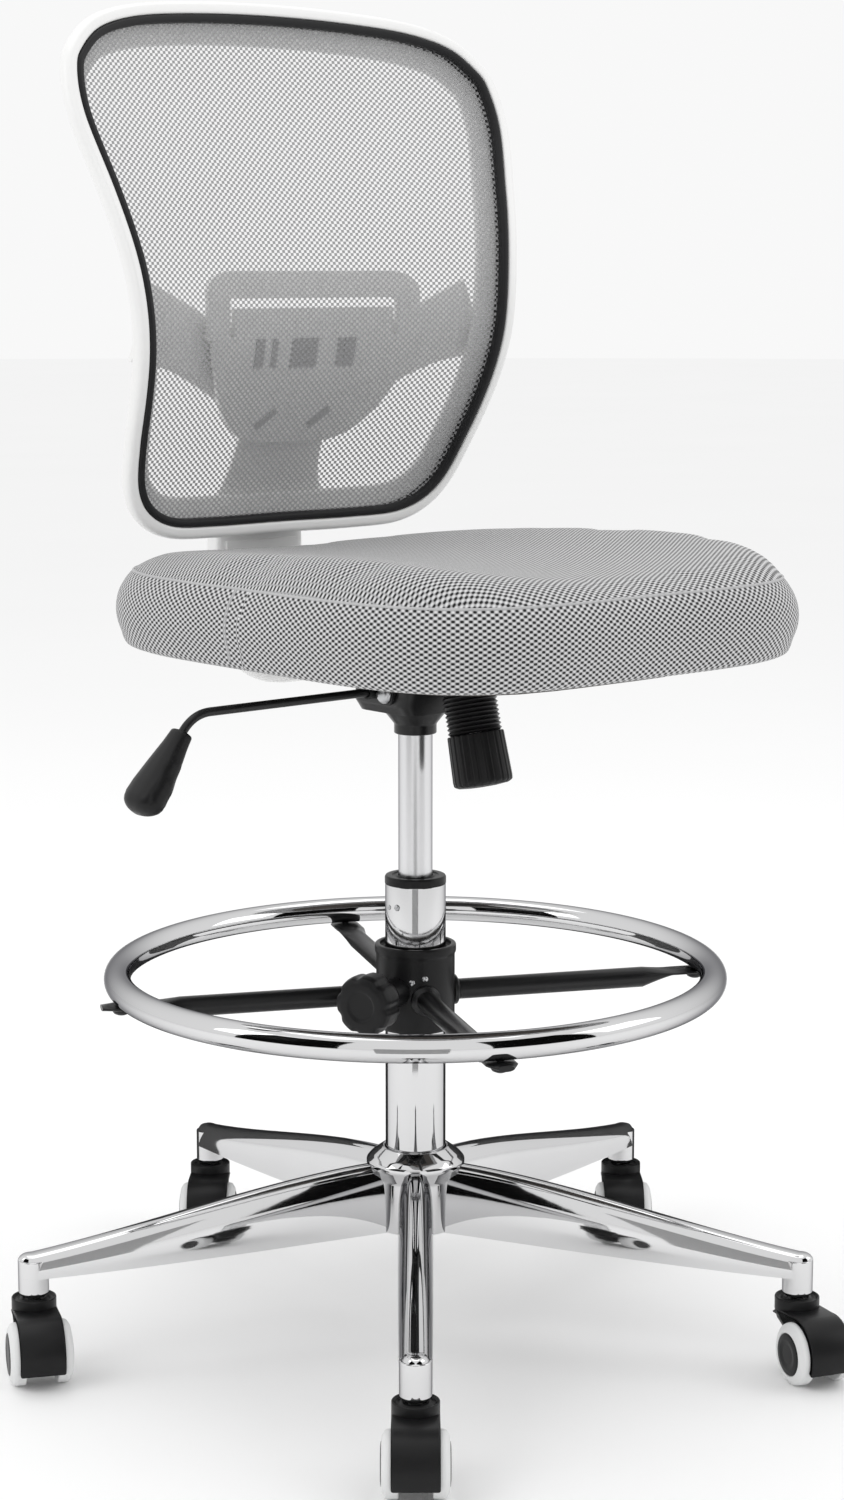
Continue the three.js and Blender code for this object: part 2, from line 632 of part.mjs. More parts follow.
// The stretched mesh: a thin sheet inside the gasket, in rings that shrink to the middle.
function meshSheet() {
  const middle = new THREE.Vector2(0, 860);
  const edge = backStations(BACK_STATIONS).map(({ p, inward }) => p.clone().addScaledVector(inward, FRAME.band + 7.2));
  const ring = (scale, behind) =>
    edge.map((p) => {
      const x = p.x * scale;
      const z = middle.y + (p.z - middle.y) * scale;
      return [x, backSurface(x, z, behind), z];
    });
  const scales = [1, 0.75, 0.5, 0.25];
  return loft([
    ...scales.map((s) => ring(s, -1)).reverse(),
    ...scales.map((s) => ring(s, 0)),
  ]);
}

// A strap of rectangular section across the back: rows of [z, half width], at a depth.
function backStrap(rows, front, thick, columns = 4) {
  return loft(rows.map(([z, half]) => {
    const xs = [];
    for (let i = 0; i <= columns; i++) xs.push(-half + (2 * half * i) / columns);
    return [
      ...xs.map((x) => [x, backSurface(x, z, front), z]),
      ...xs.reverse().map((x) => [x, backSurface(x, z, front + thick), z]),
    ];
  }));
}

// One arm of the Y-shaped bracket, from the middle out to the frame's side.
function bracketArm(side) {
  const stations = [[0, 790, 42], [60, 797, 36], [112, 810, 30], [147, 828, 31], [170, 845, 36]];
  const { front, thick } = BRACKET;
  const rings = stations.map(([x, z, half]) => {
    const at = (height, behind) => [side * x, backSurface(x, height, behind), height];
    return [at(z - half, front), at(z + half, front), at(z + half, front + thick), at(z - half, front + thick)];
  });
  return loft(rings);
}

function lumbarPad() {
  const rows = [[PAD.bottom, 42], [742, 60], [752, 74], [772, 90], [804, 104], [852, 114], [868, 110],
    [PAD.top, 94]];
  const slot = block([-89, 60, 847], [89, 260, 855]);
  return piece("lumbar_pad", cut(backStrap(rows, PAD.front, PAD.thick), slot), finish.whitePlastic);
}

function backPieces() {
  const { band, flange, step, deep, front, edgeBack } = FRAME;
  const frame = backBead([[0, front + 3], [band, front], [band, front + step],
    [flange, front + step], [flange, front + deep], [band + 4, front + deep], [0, edgeBack]]);
  const gasket = backBead([[band + 1, front + 0.5], [band + 6.8, front + 0.5],
    [band + 6.8, front + step - 1.1], [band + 1, front + step - 1.1]]);
  const spine = backStrap([[678, 58], [702, 49], [742, 47], [785, 58]], BRACKET.front, BRACKET.thick, 2);
  const bracket = join(spine, bracketArm(1), bracketArm(-1));
  return [
    piece("back_frame", frame, finish.whitePlastic),
    piece("frame_gasket", gasket, finish.gasket),
    piece("back_mesh", meshSheet(), finish.mesh),
    piece("back_bracket", bracket, finish.whitePlastic),
    lumbarPad(),
  ];
}

// The curved upright: back from the seat plate, round a belly and up behind the frame.
function uprightPieces() {
  const { half, thick, tongueTop } = UPRIGHT;
  const t = thick / 2;
  const route = [[108, 556, 0, 33], [140, 545, 2, 36], [172, 547, 24, 40], [197, 563, 54, 44],
    [209, 590, 78, half], [211, 620, 89, half], [211, 648, 90, half]];
  const rings = route.map(([y, z, deg, wide]) => {
    const [ny, nz] = [-Math.sin(rad(deg)) * t, Math.cos(rad(deg)) * t];
    return [[-wide, y - ny, z - nz], [wide, y - ny, z - nz], [wide, y + ny, z + nz], [-wide, y + ny, z + nz]];
  });
  const tongue = slabX([[201, 640], [201, 680], [191.8, tongueTop], [199.8, tongueTop], [211, 684], [211, 640]],
    2 * (half - 8));
  const pocket = block([-40, 190, 604], [40, 202.6, 660]);
  const upright = cut(join(loft(rings), tongue), pocket);
  const cover = block([-40 + GAP, 199.6, 604 + GAP], [40 - GAP, 202.3, 648]);
  return [
    piece("back_upright", upright, finish.whitePlastic),
    piece("upright_cover", cover, finish.whitePlastic),
  ];
}

const chair = new THREE.Group();
chair.add(starBase(), ...columnPieces(), ...gasLiftPieces(), ...footRingPieces());
for (let i = 0; i < ARMS; i++) chair.add(caster(i));
chair.add(tiltHousing(), tiltAxle(), tensionPieces(), ...leverPieces());
chair.add(seatPlate(), ...seatPieces(), ...uprightPieces(), ...backPieces());

export default chair;
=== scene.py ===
import math

import bmesh
import bpy
import numpy as np
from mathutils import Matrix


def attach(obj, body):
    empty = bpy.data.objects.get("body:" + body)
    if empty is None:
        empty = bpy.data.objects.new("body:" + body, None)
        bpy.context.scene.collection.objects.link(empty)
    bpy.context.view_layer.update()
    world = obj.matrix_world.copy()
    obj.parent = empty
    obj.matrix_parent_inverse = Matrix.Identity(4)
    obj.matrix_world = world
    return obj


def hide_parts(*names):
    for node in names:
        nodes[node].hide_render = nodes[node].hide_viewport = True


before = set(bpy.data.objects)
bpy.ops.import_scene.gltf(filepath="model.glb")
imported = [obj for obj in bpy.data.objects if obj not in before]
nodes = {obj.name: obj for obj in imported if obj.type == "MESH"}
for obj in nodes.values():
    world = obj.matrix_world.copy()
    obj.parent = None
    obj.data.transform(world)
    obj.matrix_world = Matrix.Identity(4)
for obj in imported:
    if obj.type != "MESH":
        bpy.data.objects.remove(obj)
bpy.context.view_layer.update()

scene = bpy.context.scene

# ---------------------------------------------------------------------------------------------
# Where the chair is seen from: a long lens a little above seat height, on the sitter's right
# front, looking slightly down.
viewpoint = bpy.data.objects.new("viewpoint", bpy.data.cameras.new("viewpoint"))
viewpoint.data.lens = 71.28
viewpoint.data.sensor_width = 36
viewpoint.data.clip_end = 60
viewpoint.location = (-1.572, -1.808, 0.883)
viewpoint.rotation_euler = (math.radians(90 - 9.3), 0, math.radians(-41.135))
scene.collection.objects.link(viewpoint)
scene.camera = viewpoint

# ---------------------------------------------------------------------------------------------
# The room: a pale matt floor, an even white room round it, large soft lamps, and black cloths on
# stands that only reflections see, which give the polished steel its dark bands.


class Value:
    """A socket in a finish. Arithmetic on it adds Math nodes, so 1 - mask reads as it is meant."""

    def __init__(self, finish, socket):
        self.finish, self.socket = finish, socket

    def math(self, operation, first, second):
        return self.finish.node("ShaderNodeMath", {"operation": operation}, {0: first, 1: second})

    def __add__(self, other):
        return self.math("ADD", self, other)

    def __sub__(self, other):
        return self.math("SUBTRACT", self, other)

    def __rsub__(self, other):
        return self.math("SUBTRACT", other, self)

    def __mul__(self, other):
        return self.math("MULTIPLY", self, other)

    __radd__ = __add__
    __rmul__ = __mul__


class Finish:
    """One material: its surface shader's constants, and the nodes that vary it."""

    def __init__(self, name, colour, roughness, **constants):
        self.material = bpy.data.materials.new(name)
        self.material.use_nodes = True
        self.tree = self.material.node_tree
        self.surface = self.tree.nodes["Principled BSDF"]
        self.surface.inputs["Base Color"].default_value = (*colour, 1)
        self.surface.inputs["Roughness"].default_value = roughness
        for socket, value in constants.items():
            self.surface.inputs[socket.replace("_", " ")].default_value = value

    def node(self, kind, settings=(), inputs=(), output=0):
        """Adds a node, with its settings first and then its sockets' values or links."""
        made = self.tree.nodes.new(kind)
        for name, value in dict(settings).items():
            setattr(made, name, value)
        for socket, value in dict(inputs).items():
            self.feed(made, socket, value)
        return Value(self, made.outputs[output])

    def feed(self, made, socket, value):
        if isinstance(value, Value):
            self.tree.links.new(value.socket, made.inputs[socket])
        else:
            made.inputs[socket].default_value = value

    def set(self, socket, value):
        self.feed(self.surface, socket, value)

    def place(self, stretch=(1, 1, 1), uv=False):
        """A point on the piece, in metres, with each axis stretched."""
        source = self.node("ShaderNodeTexCoord", output="UV" if uv else "Object")
        return self.node("ShaderNodeVectorMath", {"operation": "MULTIPLY"}, {0: source, 1: stretch})

    def along(self, point, axis):
        return self.node("ShaderNodeSeparateXYZ", inputs={0: point}, output=axis)

    def noise(self, scale, stretch=(1, 1, 1), detail=3.0):
        """Cloudy values near 0.5; scale is in features to the metre."""
        return self.node("ShaderNodeTexNoise", {}, {"Vector": self.place(stretch), "Scale": scale,
                                                    "Detail": detail})

    def step(self, value, low, high):
        """0 below low, 1 above high, and a smooth rise between."""
        return self.node("ShaderNodeMapRange", {"interpolation_type": "SMOOTHSTEP"},
                         {"Value": value, "From Min": low, "From Max": high})

    def mix(self, share, first, second):
        """The first colour where share is 0 and the second where it is 1."""
        return self.node("ShaderNodeMix", {"data_type": "RGBA"}, {0: share, 6: (*first, 1), 7: (*second, 1)},
                         2)

    def bump(self, height, distance, strength=1.0):
        self.set("Normal", self.node("ShaderNodeBump", {}, {"Height": height, "Distance": distance,
                                                            "Strength": strength}))


def moulded(name, colour, roughness, grain=0.00006, speck=0.03, **constants):
    """Moulded or sprayed skin: a fine grain in the surface, and gloss and shade that drift a little."""
    finish = Finish(name, colour, roughness, **constants)
    drift = finish.noise(9.0)
    finish.set("Roughness", drift * 0.14 + (roughness - 0.07))
    finish.set("Base Color", finish.mix(drift, [max(c - speck, 0) for c in colour],
                                        [c + speck for c in colour]))
    finish.bump(finish.noise(900.0, detail=2.0), grain)
    return finish


def quads(rows, columns, closed_rows, closed_columns):
    """Corner numbers of a grid's faces: each point with the next in its row and the two under them."""
    row = np.arange(rows if closed_rows else rows - 1)[:, None]
    column = np.arange(columns if closed_columns else columns - 1)[None, :]
    under, beside = (row + 1) % rows, (column + 1) % columns
    corners = (row * columns + column, row * columns + beside, under * columns + beside,
               under * columns + column)
    return np.stack(np.broadcast_arrays(*corners), -1).reshape(-1, 4)


def skin(points, closed_rows=False, closed_columns=True, ends=True):
    """A surface over a grid of points, in mm. Open ends of a tube are closed by flat faces."""
    rows, columns = points.shape[:2]
    faces = quads(rows, columns, closed_rows, closed_columns).tolist()
    if ends and not closed_rows:
        faces += [list(range(columns)), list(range(rows * columns - columns, rows * columns))]
    return points.reshape(-1, 3), faces


def piece(name, shells, finish, body, replaces=(), crease=38):
    """One object from one or more shells, welded, turned outwards, and smooth except at creases."""
    firsts = np.cumsum([0] + [len(points) for points, _ in shells])
    points = np.concatenate([points for points, _ in shells]) * 0.001
    faces = [[corner + int(first) for corner in face] for first, (_, shell) in zip(firsts, shells)
             for face in shell]
    mesh = bpy.data.meshes.new(name)
    mesh.from_pydata(points, [], faces)
    welded = bmesh.new()
    welded.from_mesh(mesh)
    bmesh.ops.remove_doubles(welded, verts=welded.verts, dist=1e-6)
    bmesh.ops.recalc_face_normals(welded, faces=welded.faces)
    welded.to_mesh(mesh)
    welded.free()
    mesh.shade_smooth()
    mesh.set_sharp_from_angle(angle=math.radians(crease))
    mesh.materials.append(finish.material)
    made = bpy.data.objects.new(name, mesh)
    scene.collection.objects.link(made)
    if body:
        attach(made, body)
    if replaces:
        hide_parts(*replaces)
    return made


def dressed(finish, *names):
    """Gives CAD nodes a finish of their own."""
    for name in names:
        nodes[name].data.materials.clear()
        nodes[name].data.materials.append(finish.material)


floor_finish = Finish("matt floor", (0.96, 0.96, 0.96), 0.9, Specular_IOR_Level=0.0)
floor_finish.set("Base Color", floor_finish.mix(floor_finish.noise(1.2), (0.95, 0.95, 0.95),
                                                (0.97, 0.97, 0.97)))
ring = np.linspace(0, 2 * np.pi, 96, endpoint=False)
reach = np.linspace(0, 26000, 14)[:, None]
floor = piece("floor", [skin(np.stack([reach * np.cos(ring), reach * np.sin(ring),
                                       0 * reach - 0.4 + 0 * ring], -1), ends=False)], floor_finish, None)

black_cloth = Finish("black cloth", (0.004, 0.004, 0.004), 0.9, Specular_IOR_Level=0.0)
grey_cloth = Finish("grey cloth", (0.12, 0.12, 0.12), 0.9, Specular_IOR_Level=0.0)
pale_cloth = Finish("pale cloth", (0.42, 0.42, 0.42), 0.9, Specular_IOR_Level=0.0)
for cloth in (black_cloth, grey_cloth, pale_cloth):
    cloth.set("Roughness", cloth.noise(20.0) * 0.1 + 0.85)
TOWARDS_VIEWER = 229
for number, (away, first, last, low, high, cloth) in enumerate([
        (3300, 26, 64, 3, 52, black_cloth), (3300, -64, -26, 3, 52, black_cloth),
        (470, 132, 174, 0, 38, grey_cloth), (470, -172, -130, 0, 38, grey_cloth),
        (820, -12, 10, 0, 27, pale_cloth)], 1):
    around = np.radians(TOWARDS_VIEWER + np.linspace(first, last, 24))
    rise = np.radians(np.linspace(low, high, 8))[:, None]
    patch = away * np.stack([np.cos(rise) * np.cos(around), np.cos(rise) * np.sin(around),
                             np.sin(rise) + 0 * around], -1)
    hung = piece(f"cloth_{number}", [skin(patch, closed_columns=False, ends=False)], cloth, None)
    hung.visible_camera = hung.visible_diffuse = hung.visible_shadow = hung.visible_transmission = False

scene.world = bpy.data.worlds.new("white room")
scene.world.use_nodes = True
scene.world.node_tree.nodes["Background"].inputs["Color"].default_value = (1, 1, 1, 1)
scene.world.node_tree.nodes["Background"].inputs["Strength"].default_value = 0.94
scene.view_settings.view_transform = "Standard"

for name, spot, size, power in [("lamp_left", (-2.7, 0.6, 2.3), 1.8, 14),
                                ("lamp_right", (2.0, -2.1, 2.0), 1.6, 9), ("lamp_above", (0.2, 0.3, 3.0), 2.2,
                                                                           14)]:
    lamp = bpy.data.objects.new(name, bpy.data.lights.new(name, "AREA"))
    lamp.data.size = size
    lamp.data.energy = power
    lamp.location = spot
    away = np.array(spot) - (0, 0, 0.5)
    lamp.rotation_euler = (math.acos(away[2] / np.linalg.norm(away)), 0,
                           math.atan2(away[1], away[0]) + math.pi / 2)
    scene.collection.objects.link(lamp)

# ---------------------------------------------------------------------------------------------
# The base: one polished, chrome-plated steel weldment. Five upside-down channels run
# out from the hub and taper to a round socket each; a cone cap closes the hub round the column.
ARMS = 5
FIRST_ARM = 229
STEM_CIRCLE = 324

chrome = Finish("polished chrome", (0.7, 0.7, 0.705), 0.05, Metallic=1.0, Specular_Tint=(0.25, 0.25, 0.26, 1))
chrome.set("Roughness", chrome.noise(26.0) * 0.05 + 0.02)
chrome.set("Base Color", chrome.mix(chrome.noise(5.0), (0.65, 0.65, 0.655), (0.75, 0.75, 0.755)))
chrome.bump(chrome.noise(60.0, detail=1.0), 0.00004, 0.5)


def turned(profile, at=(0, 0, 0), along=(0, 0, 1), sides=72, closed=True):
    """A profile of (radius, distance) turned about a line: at + distance along it + radius across it."""
    profile, along = np.asarray(profile, float), np.asarray(along, float)
    along = along / np.linalg.norm(along)
    first = np.cross(along, (0.3, 1, 0.2) if abs(along[1]) < 0.9 else (1, 0.2, 0.3))
    first = first / np.linalg.norm(first)
    second = np.cross(along, first)
    turn = np.linspace(0, 2 * np.pi, sides, endpoint=False)[None, :, None]
    radius, distance = profile[:, None, :1], profile[:, None, 1:]
    points = np.asarray(at, float) + distance * along + radius * (np.cos(turn) * first
                                                                  + np.sin(turn) * second)
    return skin(points, closed_rows=closed, ends=False)


def eased(corners, radius, closed=True, steps=5):
    """A line with its corners rounded: corner + before * (1 - t)^2 + after * t^2, where before and
    after reach `radius` along the two sides, or just under half a short side."""
    corners = np.asarray(corners, float)

    def reach(side):
        length = np.linalg.norm(side, axis=1, keepdims=True)
        return side / np.maximum(length, 1e-9) * np.minimum(radius, 0.48 * length)

    before, after = reach(np.roll(corners, 1, 0) - corners), reach(np.roll(corners, -1, 0) - corners)
    t = np.linspace(0, 1, steps)[:, None, None]
    line = (corners + before * (1 - t) ** 2 + after * t**2).transpose(1, 0, 2).reshape(-1, corners.shape[1])
    return line if closed else np.concatenate([corners[:1], line[steps:-steps], corners[-1:]])


def spun(shell, degrees, shift=(0, 0, 0)):
    """A shell turned about Z through the origin, then shifted."""
    points, faces = shell
    c, s = math.cos(math.radians(degrees)), math.sin(math.radians(degrees))
    return points @ np.array([[c, s, 0], [-s, c, 0], [0, 0, 1]]) + shift, faces


def channel_arm():
    """An arch of height and half-width that are cubics of the reach, and the same arch 2.6 mm inside
    it; past the socket's middle the half-width falls as a half circle does."""
    reach = np.concatenate([np.linspace(24, 322, 44), 324 + 12.2 * np.sin(np.linspace(0, 0.5, 12) * np.pi)])
    shape = np.minimum(reach, 324)
    knots = [22, 70, 190, 324]
    low = np.polyval(np.polyfit(knots, [88, 86, 81, 78], 3), shape)
    high = np.polyval(np.polyfit(knots, [145, 141, 121, 97], 3), shape)
    half = np.polyval(np.polyfit(knots, [14.8, 14.6, 13.8, 12.3], 3), shape)
    half = half * np.sqrt(np.clip(1 - (np.maximum(reach - 324, 0) / 12.3) ** 2, 0.001, 1))
    drop = 4 * np.clip((reach - 326) / 10.3, 0, 1) ** 3
    turn = np.linspace(0, np.pi, 41)

    def arch(inset):
        across = np.sign(np.cos(turn)) * np.abs(np.cos(turn)) ** 0.66
        up = np.abs(np.sin(turn)) ** 0.74
        rise = (high - drop - low - inset)[:, None] * up
        return np.stack([reach[:, None] + 0 * up, np.maximum(half - inset, 0.2)[:, None] * across,
                         low[:, None] + rise], -1)

    return skin(np.concatenate([arch(0), arch(2.6)[:, ::-1]], 1))


hub_profile = eased([(25.3, 88), (34, 88), (34, 131), (41, 142), (41, 146), (37, 150.5), (28, 157),
                     (25.3, 157)], 1.4)
socket_profile = eased([(5.9, 62), (10.2, 62), (12.3, 64.6), (12.3, 92), (5.9, 92)], 0.8)
rivet_profile = [(0, 82.6), (2.4, 83), (3.6, 84.6), (3.8, 88), (0, 88)]
weldment = [turned(hub_profile)]
for number in range(ARMS):
    angle = FIRST_ARM + number * 360 / ARMS
    weldment.append(spun(channel_arm(), angle))
    weldment.append(spun(turned(socket_profile, (STEM_CIRCLE, 0, 0), sides=48), angle))
    weldment += [spun(turned(rivet_profile, (reach, 0, 0), sides=20, closed=False), angle)
                 for reach in (49, 66)]
piece("base_star", weldment, chrome, "base", ["star_base"], crease=30)

# ---------------------------------------------------------------------------------------------
# Casters: a black nylon hood over two wheels on one steel axle, swivelling on a steel stem. Each
# wheel is a black nylon disc with a soft pale tread moulded round it.
TRAILS = (229, 250, 229, 229, 243)
TRAIL = 32
AXLE_Z = 25

steel = Finish("drawn steel", (0.52, 0.53, 0.54), 0.3, Metallic=1.0)
steel.set("Roughness", steel.noise(40.0, (1, 1, 6)) * 0.2 + 0.2)
steel.set("Base Color", steel.mix(steel.noise(30.0), (0.44, 0.45, 0.46), (0.6, 0.6, 0.61)))
nylon = moulded("black nylon", (0.009, 0.009, 0.0095), 0.38, speck=0.003, Specular_IOR_Level=0.22)
tread = moulded("pale tread", (0.72, 0.725, 0.725), 0.42, speck=0.025)


def slab(outline, width, ease, steps=4):
    """An outline in the YZ plane pushed along X, with both rims rounded: near each end the outline
    moves in along its own normals by ease * (1 - sin of the way round the rim)."""
    line = np.asarray(outline, float)
    step = np.roll(line, -1, 0) - np.roll(line, 1, 0)
    turn = np.sum(line[:, 0] * np.roll(line[:, 1], -1) - np.roll(line[:, 0], -1) * line[:, 1])
    out = np.stack([step[:, 1], -step[:, 0]], 1) * np.sign(turn)
    out = out / np.maximum(np.linalg.norm(out, axis=1, keepdims=True), 1e-9)
    rim = np.linspace(0, np.pi / 2, steps)
    inset = np.concatenate([ease * (1 - np.sin(rim)), ease * (1 - np.sin(rim))[::-1]])
    side = np.concatenate([-width / 2 + ease * (1 - np.cos(rim)), width / 2 - ease * (1 - np.cos(rim))[::-1]])
    flat = line[None] - inset[:, None, None] * out[None]
    return skin(np.concatenate([np.broadcast_to(side[:, None, None], flat.shape[:2] + (1,)), flat], -1))


def arc(radius, first, last, count=20):
    """Points of a circle about the wheels' axle, as (y, z)."""
    turn = np.radians(np.linspace(first, last, count))
    return np.stack([-TRAIL + radius * np.cos(turn), AXLE_Z + radius * np.sin(turn)], 1)


guard = slab(np.concatenate([arc(28.4, 203, 93), [(-18, 53), (2, 52), (8, 46), (-12, 46)],
                             arc(26.4, 62, 203)]), 36, 1.6)
web = slab(np.concatenate([arc(28.2, 203, 93), [(-17, 52.6), (13, 52.6), (14.5, 50), (10, 42), (-3, 30),
                                                (-5, 18)]]), 23.4, 0.8)
neck = turned(eased([(0, 58.4), (8.6, 58.4), (8.6, 60.2), (11, 60.2), (13, 58.6), (15.6, 58.6), (17, 61),
                     (18, 60.4), (18, 50), (16.2, 43), (10, 33), (0, 29)], 0.7, False), sides=64,
              closed=False)
tyre_profile = eased([(16.8, 12.4), (24.2, 12.4), (25, 13.2), (25, 19.6), (24.2, 22.2), (20.5, 24.6),
                      (17.4, 25.2), (16.8, 23.4)], 0.9)
disc_profile = eased([(0, 13), (16.9, 13), (17.3, 24.3), (16.2, 25.4), (12, 25.9), (8, 25.2), (0, 25.5)], 0.7,
                     False)
for number, trail in enumerate(TRAILS, 1):
    angle = math.radians(FIRST_ARM + (number - 1) * 360 / ARMS)
    stem = (STEM_CIRCLE * math.cos(angle), STEM_CIRCLE * math.sin(angle), 0)
    piece(f"caster_cover_{number}", [spun(part, trail + 90, stem) for part in (guard, web, neck)], nylon,
          f"caster_{number}", [f"caster_hood_{number}"], crease=50)
    for side, way in (("left", 1), ("right", -1)):
        at, along = (0, -TRAIL, AXLE_Z), (way, 0, 0)
        piece(f"caster_tread_{side}_{number}", [spun(turned(tyre_profile, at, along, 64), trail + 90, stem)],
              tread, f"wheel_{side}_{number}", [f"caster_wheel_{side}_{number}"])
        piece(f"caster_disc_{side}_{number}", [spun(turned(disc_profile, at, along, 48, False), trail + 90,
                                                    stem)], nylon, f"wheel_{side}_{number}")
    dressed(steel, f"caster_stem_{number}", f"caster_axle_{number}")

# ---------------------------------------------------------------------------------------------
# The column: a chrome-plated steel tube pressed into the hub, with a black nylon guide bushing in
# its mouth and two small set screws below the lip that hold the bushing.
piece("column_sleeve", [turned(eased([(23.2, 89), (25, 89), (25, 380), (23.2, 380)], 0.4), sides=96)], chrome,
      "base", ["column_tube"])
piece("column_bushing", [turned(eased([(14.5, 330), (22.9, 330), (22.9, 380.3), (25.3, 380.3), (25.3, 385.6),
                                       (24.4, 387), (19.4, 387), (18.8, 386), (16.2, 386), (15.6, 387),
                                       (14.5, 387)], 0.5), sides=96)], nylon, "base",
      ["guide_bushing"])


def dome(at, along, radius, height):
    """A round-headed screw or rivet: a low dome standing on a straight edge."""
    profile = [(0, height), (0.5 * radius, 0.92 * height), (0.85 * radius, 0.6 * height),
               (radius, 0.15 * height), (radius, -1.5), (0, -1.5)]
    return turned(profile, at, along, 24, False)


def facing(degrees, radius, z):
    """A point on the column's side and the way it faces."""
    out = (math.cos(math.radians(degrees)), math.sin(math.radians(degrees)), 0)
    return (radius * out[0], radius * out[1], z), out


piece("column_screws", [dome(*facing(192, 25, 363), 2.7, 1.3), dome(*facing(170, 25, 362), 2.1, 1.0)], steel,
      "base")

# ---------------------------------------------------------------------------------------------
# The gas lift: a steel rod standing in the column and a ground, hard-chromed cylinder that rides
# up and down on it, with the brass valve button in its tapered tip.
ground_chrome = Finish("ground chrome", (0.74, 0.745, 0.75), 0.26, Metallic=1.0,
                       Specular_Tint=(0.2, 0.2, 0.21, 1))
ground_chrome.set("Roughness", ground_chrome.noise(14.0) * 0.06 + 0.23)
ground_chrome.set("Base Color", ground_chrome.mix(ground_chrome.noise(6.0), (0.7, 0.7, 0.71),
                                                  (0.8, 0.8, 0.81)))
brass = Finish("turned brass", (0.55, 0.41, 0.15), 0.3, Metallic=1.0)
brass.set("Roughness", brass.noise(60.0, (1, 1, 12)) * 0.2 + 0.2)

piece("lift_cylinder", [turned([(5.3, 215), (14, 215), (14, 506), (13.4, 530), (4.4, 530), (4.4, 522),
                                (12, 522), (12, 226), (5.3, 226)], sides=96)], ground_chrome, "mechanism",
      ["gas_cylinder"])
dressed(steel, "piston_rod")
dressed(brass, "release_button")

# ---------------------------------------------------------------------------------------------
# The foot ring: a chromed tube bent to a circle. Four black tubes, pressed flat at their outer
# ends, carry it on a black collar that slides on the column; a screw holds each from below.
RING_R, RING_TUBE, RING_Z = 245.5, 11, 305
SPOKE_Z = 288
FIRST_SPOKE = -26

powder = moulded("black powder coat", (0.009, 0.009, 0.0095), 0.3, grain=0.0001, speck=0.003,
                 Specular_IOR_Level=0.35)

hoop = np.linspace(0, 2 * np.pi, 220, endpoint=False)[:, None]
tube = np.linspace(0, 2 * np.pi, 40, endpoint=False)[None, :]
out = RING_R + RING_TUBE * np.cos(tube)
piece("foot_hoop", [skin(np.stack([out * np.cos(hoop), out * np.sin(hoop),
                                   RING_Z + RING_TUBE * np.sin(tube) + 0 * hoop], -1), closed_rows=True)],
      chrome, "foot_ring", ["foot_ring"])

station = np.concatenate([np.linspace(33, 198, 12), np.linspace(202, 262, 30)])
spoke_half = np.interp(station, [198, 226, 250, 262], [8.5, 12.8, 12.8, 6.5])
spoke_tall = np.interp(station, [198, 222, 262], [8.5, 2.3, 2.3])
spoke_lift = np.interp(station, [198, 222, 262], [0, 3.4, 3.4])
edge = np.linspace(0, 2 * np.pi, 32, endpoint=False)
spoke = skin(np.stack([station[:, None] + 0 * edge, spoke_half[:, None] * np.cos(edge),
                       SPOKE_Z + spoke_lift[:, None] + spoke_tall[:, None] * np.sin(edge)], -1))
flange = turned(eased([(0, 31), (12.5, 31), (12.5, 34.5), (8, 37), (0, 37)], 0.8, False), (0, 0, SPOKE_Z),
                (1, 0, 0), 40, False)
screw = turned([(0, 284.4), (3.6, 284.8), (6.2, 286), (7.5, 287.8), (7.5, 289), (2.9, 289), (2.9, 301),
                (0, 301)], (RING_R, 0, 0), sides=28, closed=False)
for number in range(4):
    angle = FIRST_SPOKE + 90 * number
    piece(f"foot_spoke_{number + 1}", [spun(spoke, angle), spun(flange, angle)], powder, "foot_ring",
          [f"foot_ring_spoke_{number + 1}"])
    piece(f"foot_screw_{number + 1}", [spun(screw, angle)], powder, "foot_ring",
          [f"foot_ring_screw_{number + 1}"])

collar_profile = eased([(25.45, 259), (31, 259), (32.5, 261.5), (32.5, 321), (33.6, 323.5), (33.6, 329),
                        (32.6, 330), (29.4, 330), (29.4, 326.5), (25.45, 326.5)], 0.9)
CLAMP_AT, CLAMP_OUT = facing(199, 0, 294)
boss = turned(eased([(0, 26), (12, 26), (12, 46.6), (10.8, 48), (0, 48)], 0.6, False), CLAMP_AT, CLAMP_OUT,
              48, False)
piece("foot_collar", [turned(collar_profile, sides=96), boss], nylon, "foot_ring",
      ["foot_ring_collar"])
piece("collar_rivets", [dome(*facing(224, 32.4, 303), 2.6, 1.4), dome(*facing(243, 32.4, 306), 2.6, 1.4)],
      steel, "foot_ring")

# ---------------------------------------------------------------------------------------------
# The clamp knob: a scalloped black nylon knob moulded on a threaded stud that presses on the
# column. Its rim is a circle with shallow scoops.
depth = eased([(0, 61.5), (15, 61.5), (21, 63.5), (24.4, 67), (25, 72), (25, 82), (23.6, 86.6), (19, 88.2),
               (13, 88.5), (11, 87.3), (0, 87.3)], 1.5, False)
around = np.linspace(0, 2 * np.pi, 140, endpoint=False)
scoop = 1 - 0.075 * np.clip(np.cos(7 * around), 0, 1) ** 1.5 * np.clip((depth[:, :1] - 17) / 6, 0, 1)
flat = depth[:, :1] * scoop
across = np.array([-CLAMP_OUT[1], CLAMP_OUT[0], 0])
knob_points = (np.array(CLAMP_AT) + depth[:, 1, None, None] * np.array(CLAMP_OUT)
               + (flat * np.cos(around))[..., None] * across
               + (flat * np.sin(around))[..., None] * np.array([0, 0, 1.0]))
piece("clamp_grip", [skin(knob_points, ends=False)], nylon, "clamp_knob", ["clamp_knob"])
turns = np.arange(0, 9)
thread = np.concatenate([np.stack([4.6 + 0 * turns, 49 + 1.5 * turns], 1),
                         np.stack([5.6 + 0 * turns, 49.75 + 1.5 * turns], 1)], 1)
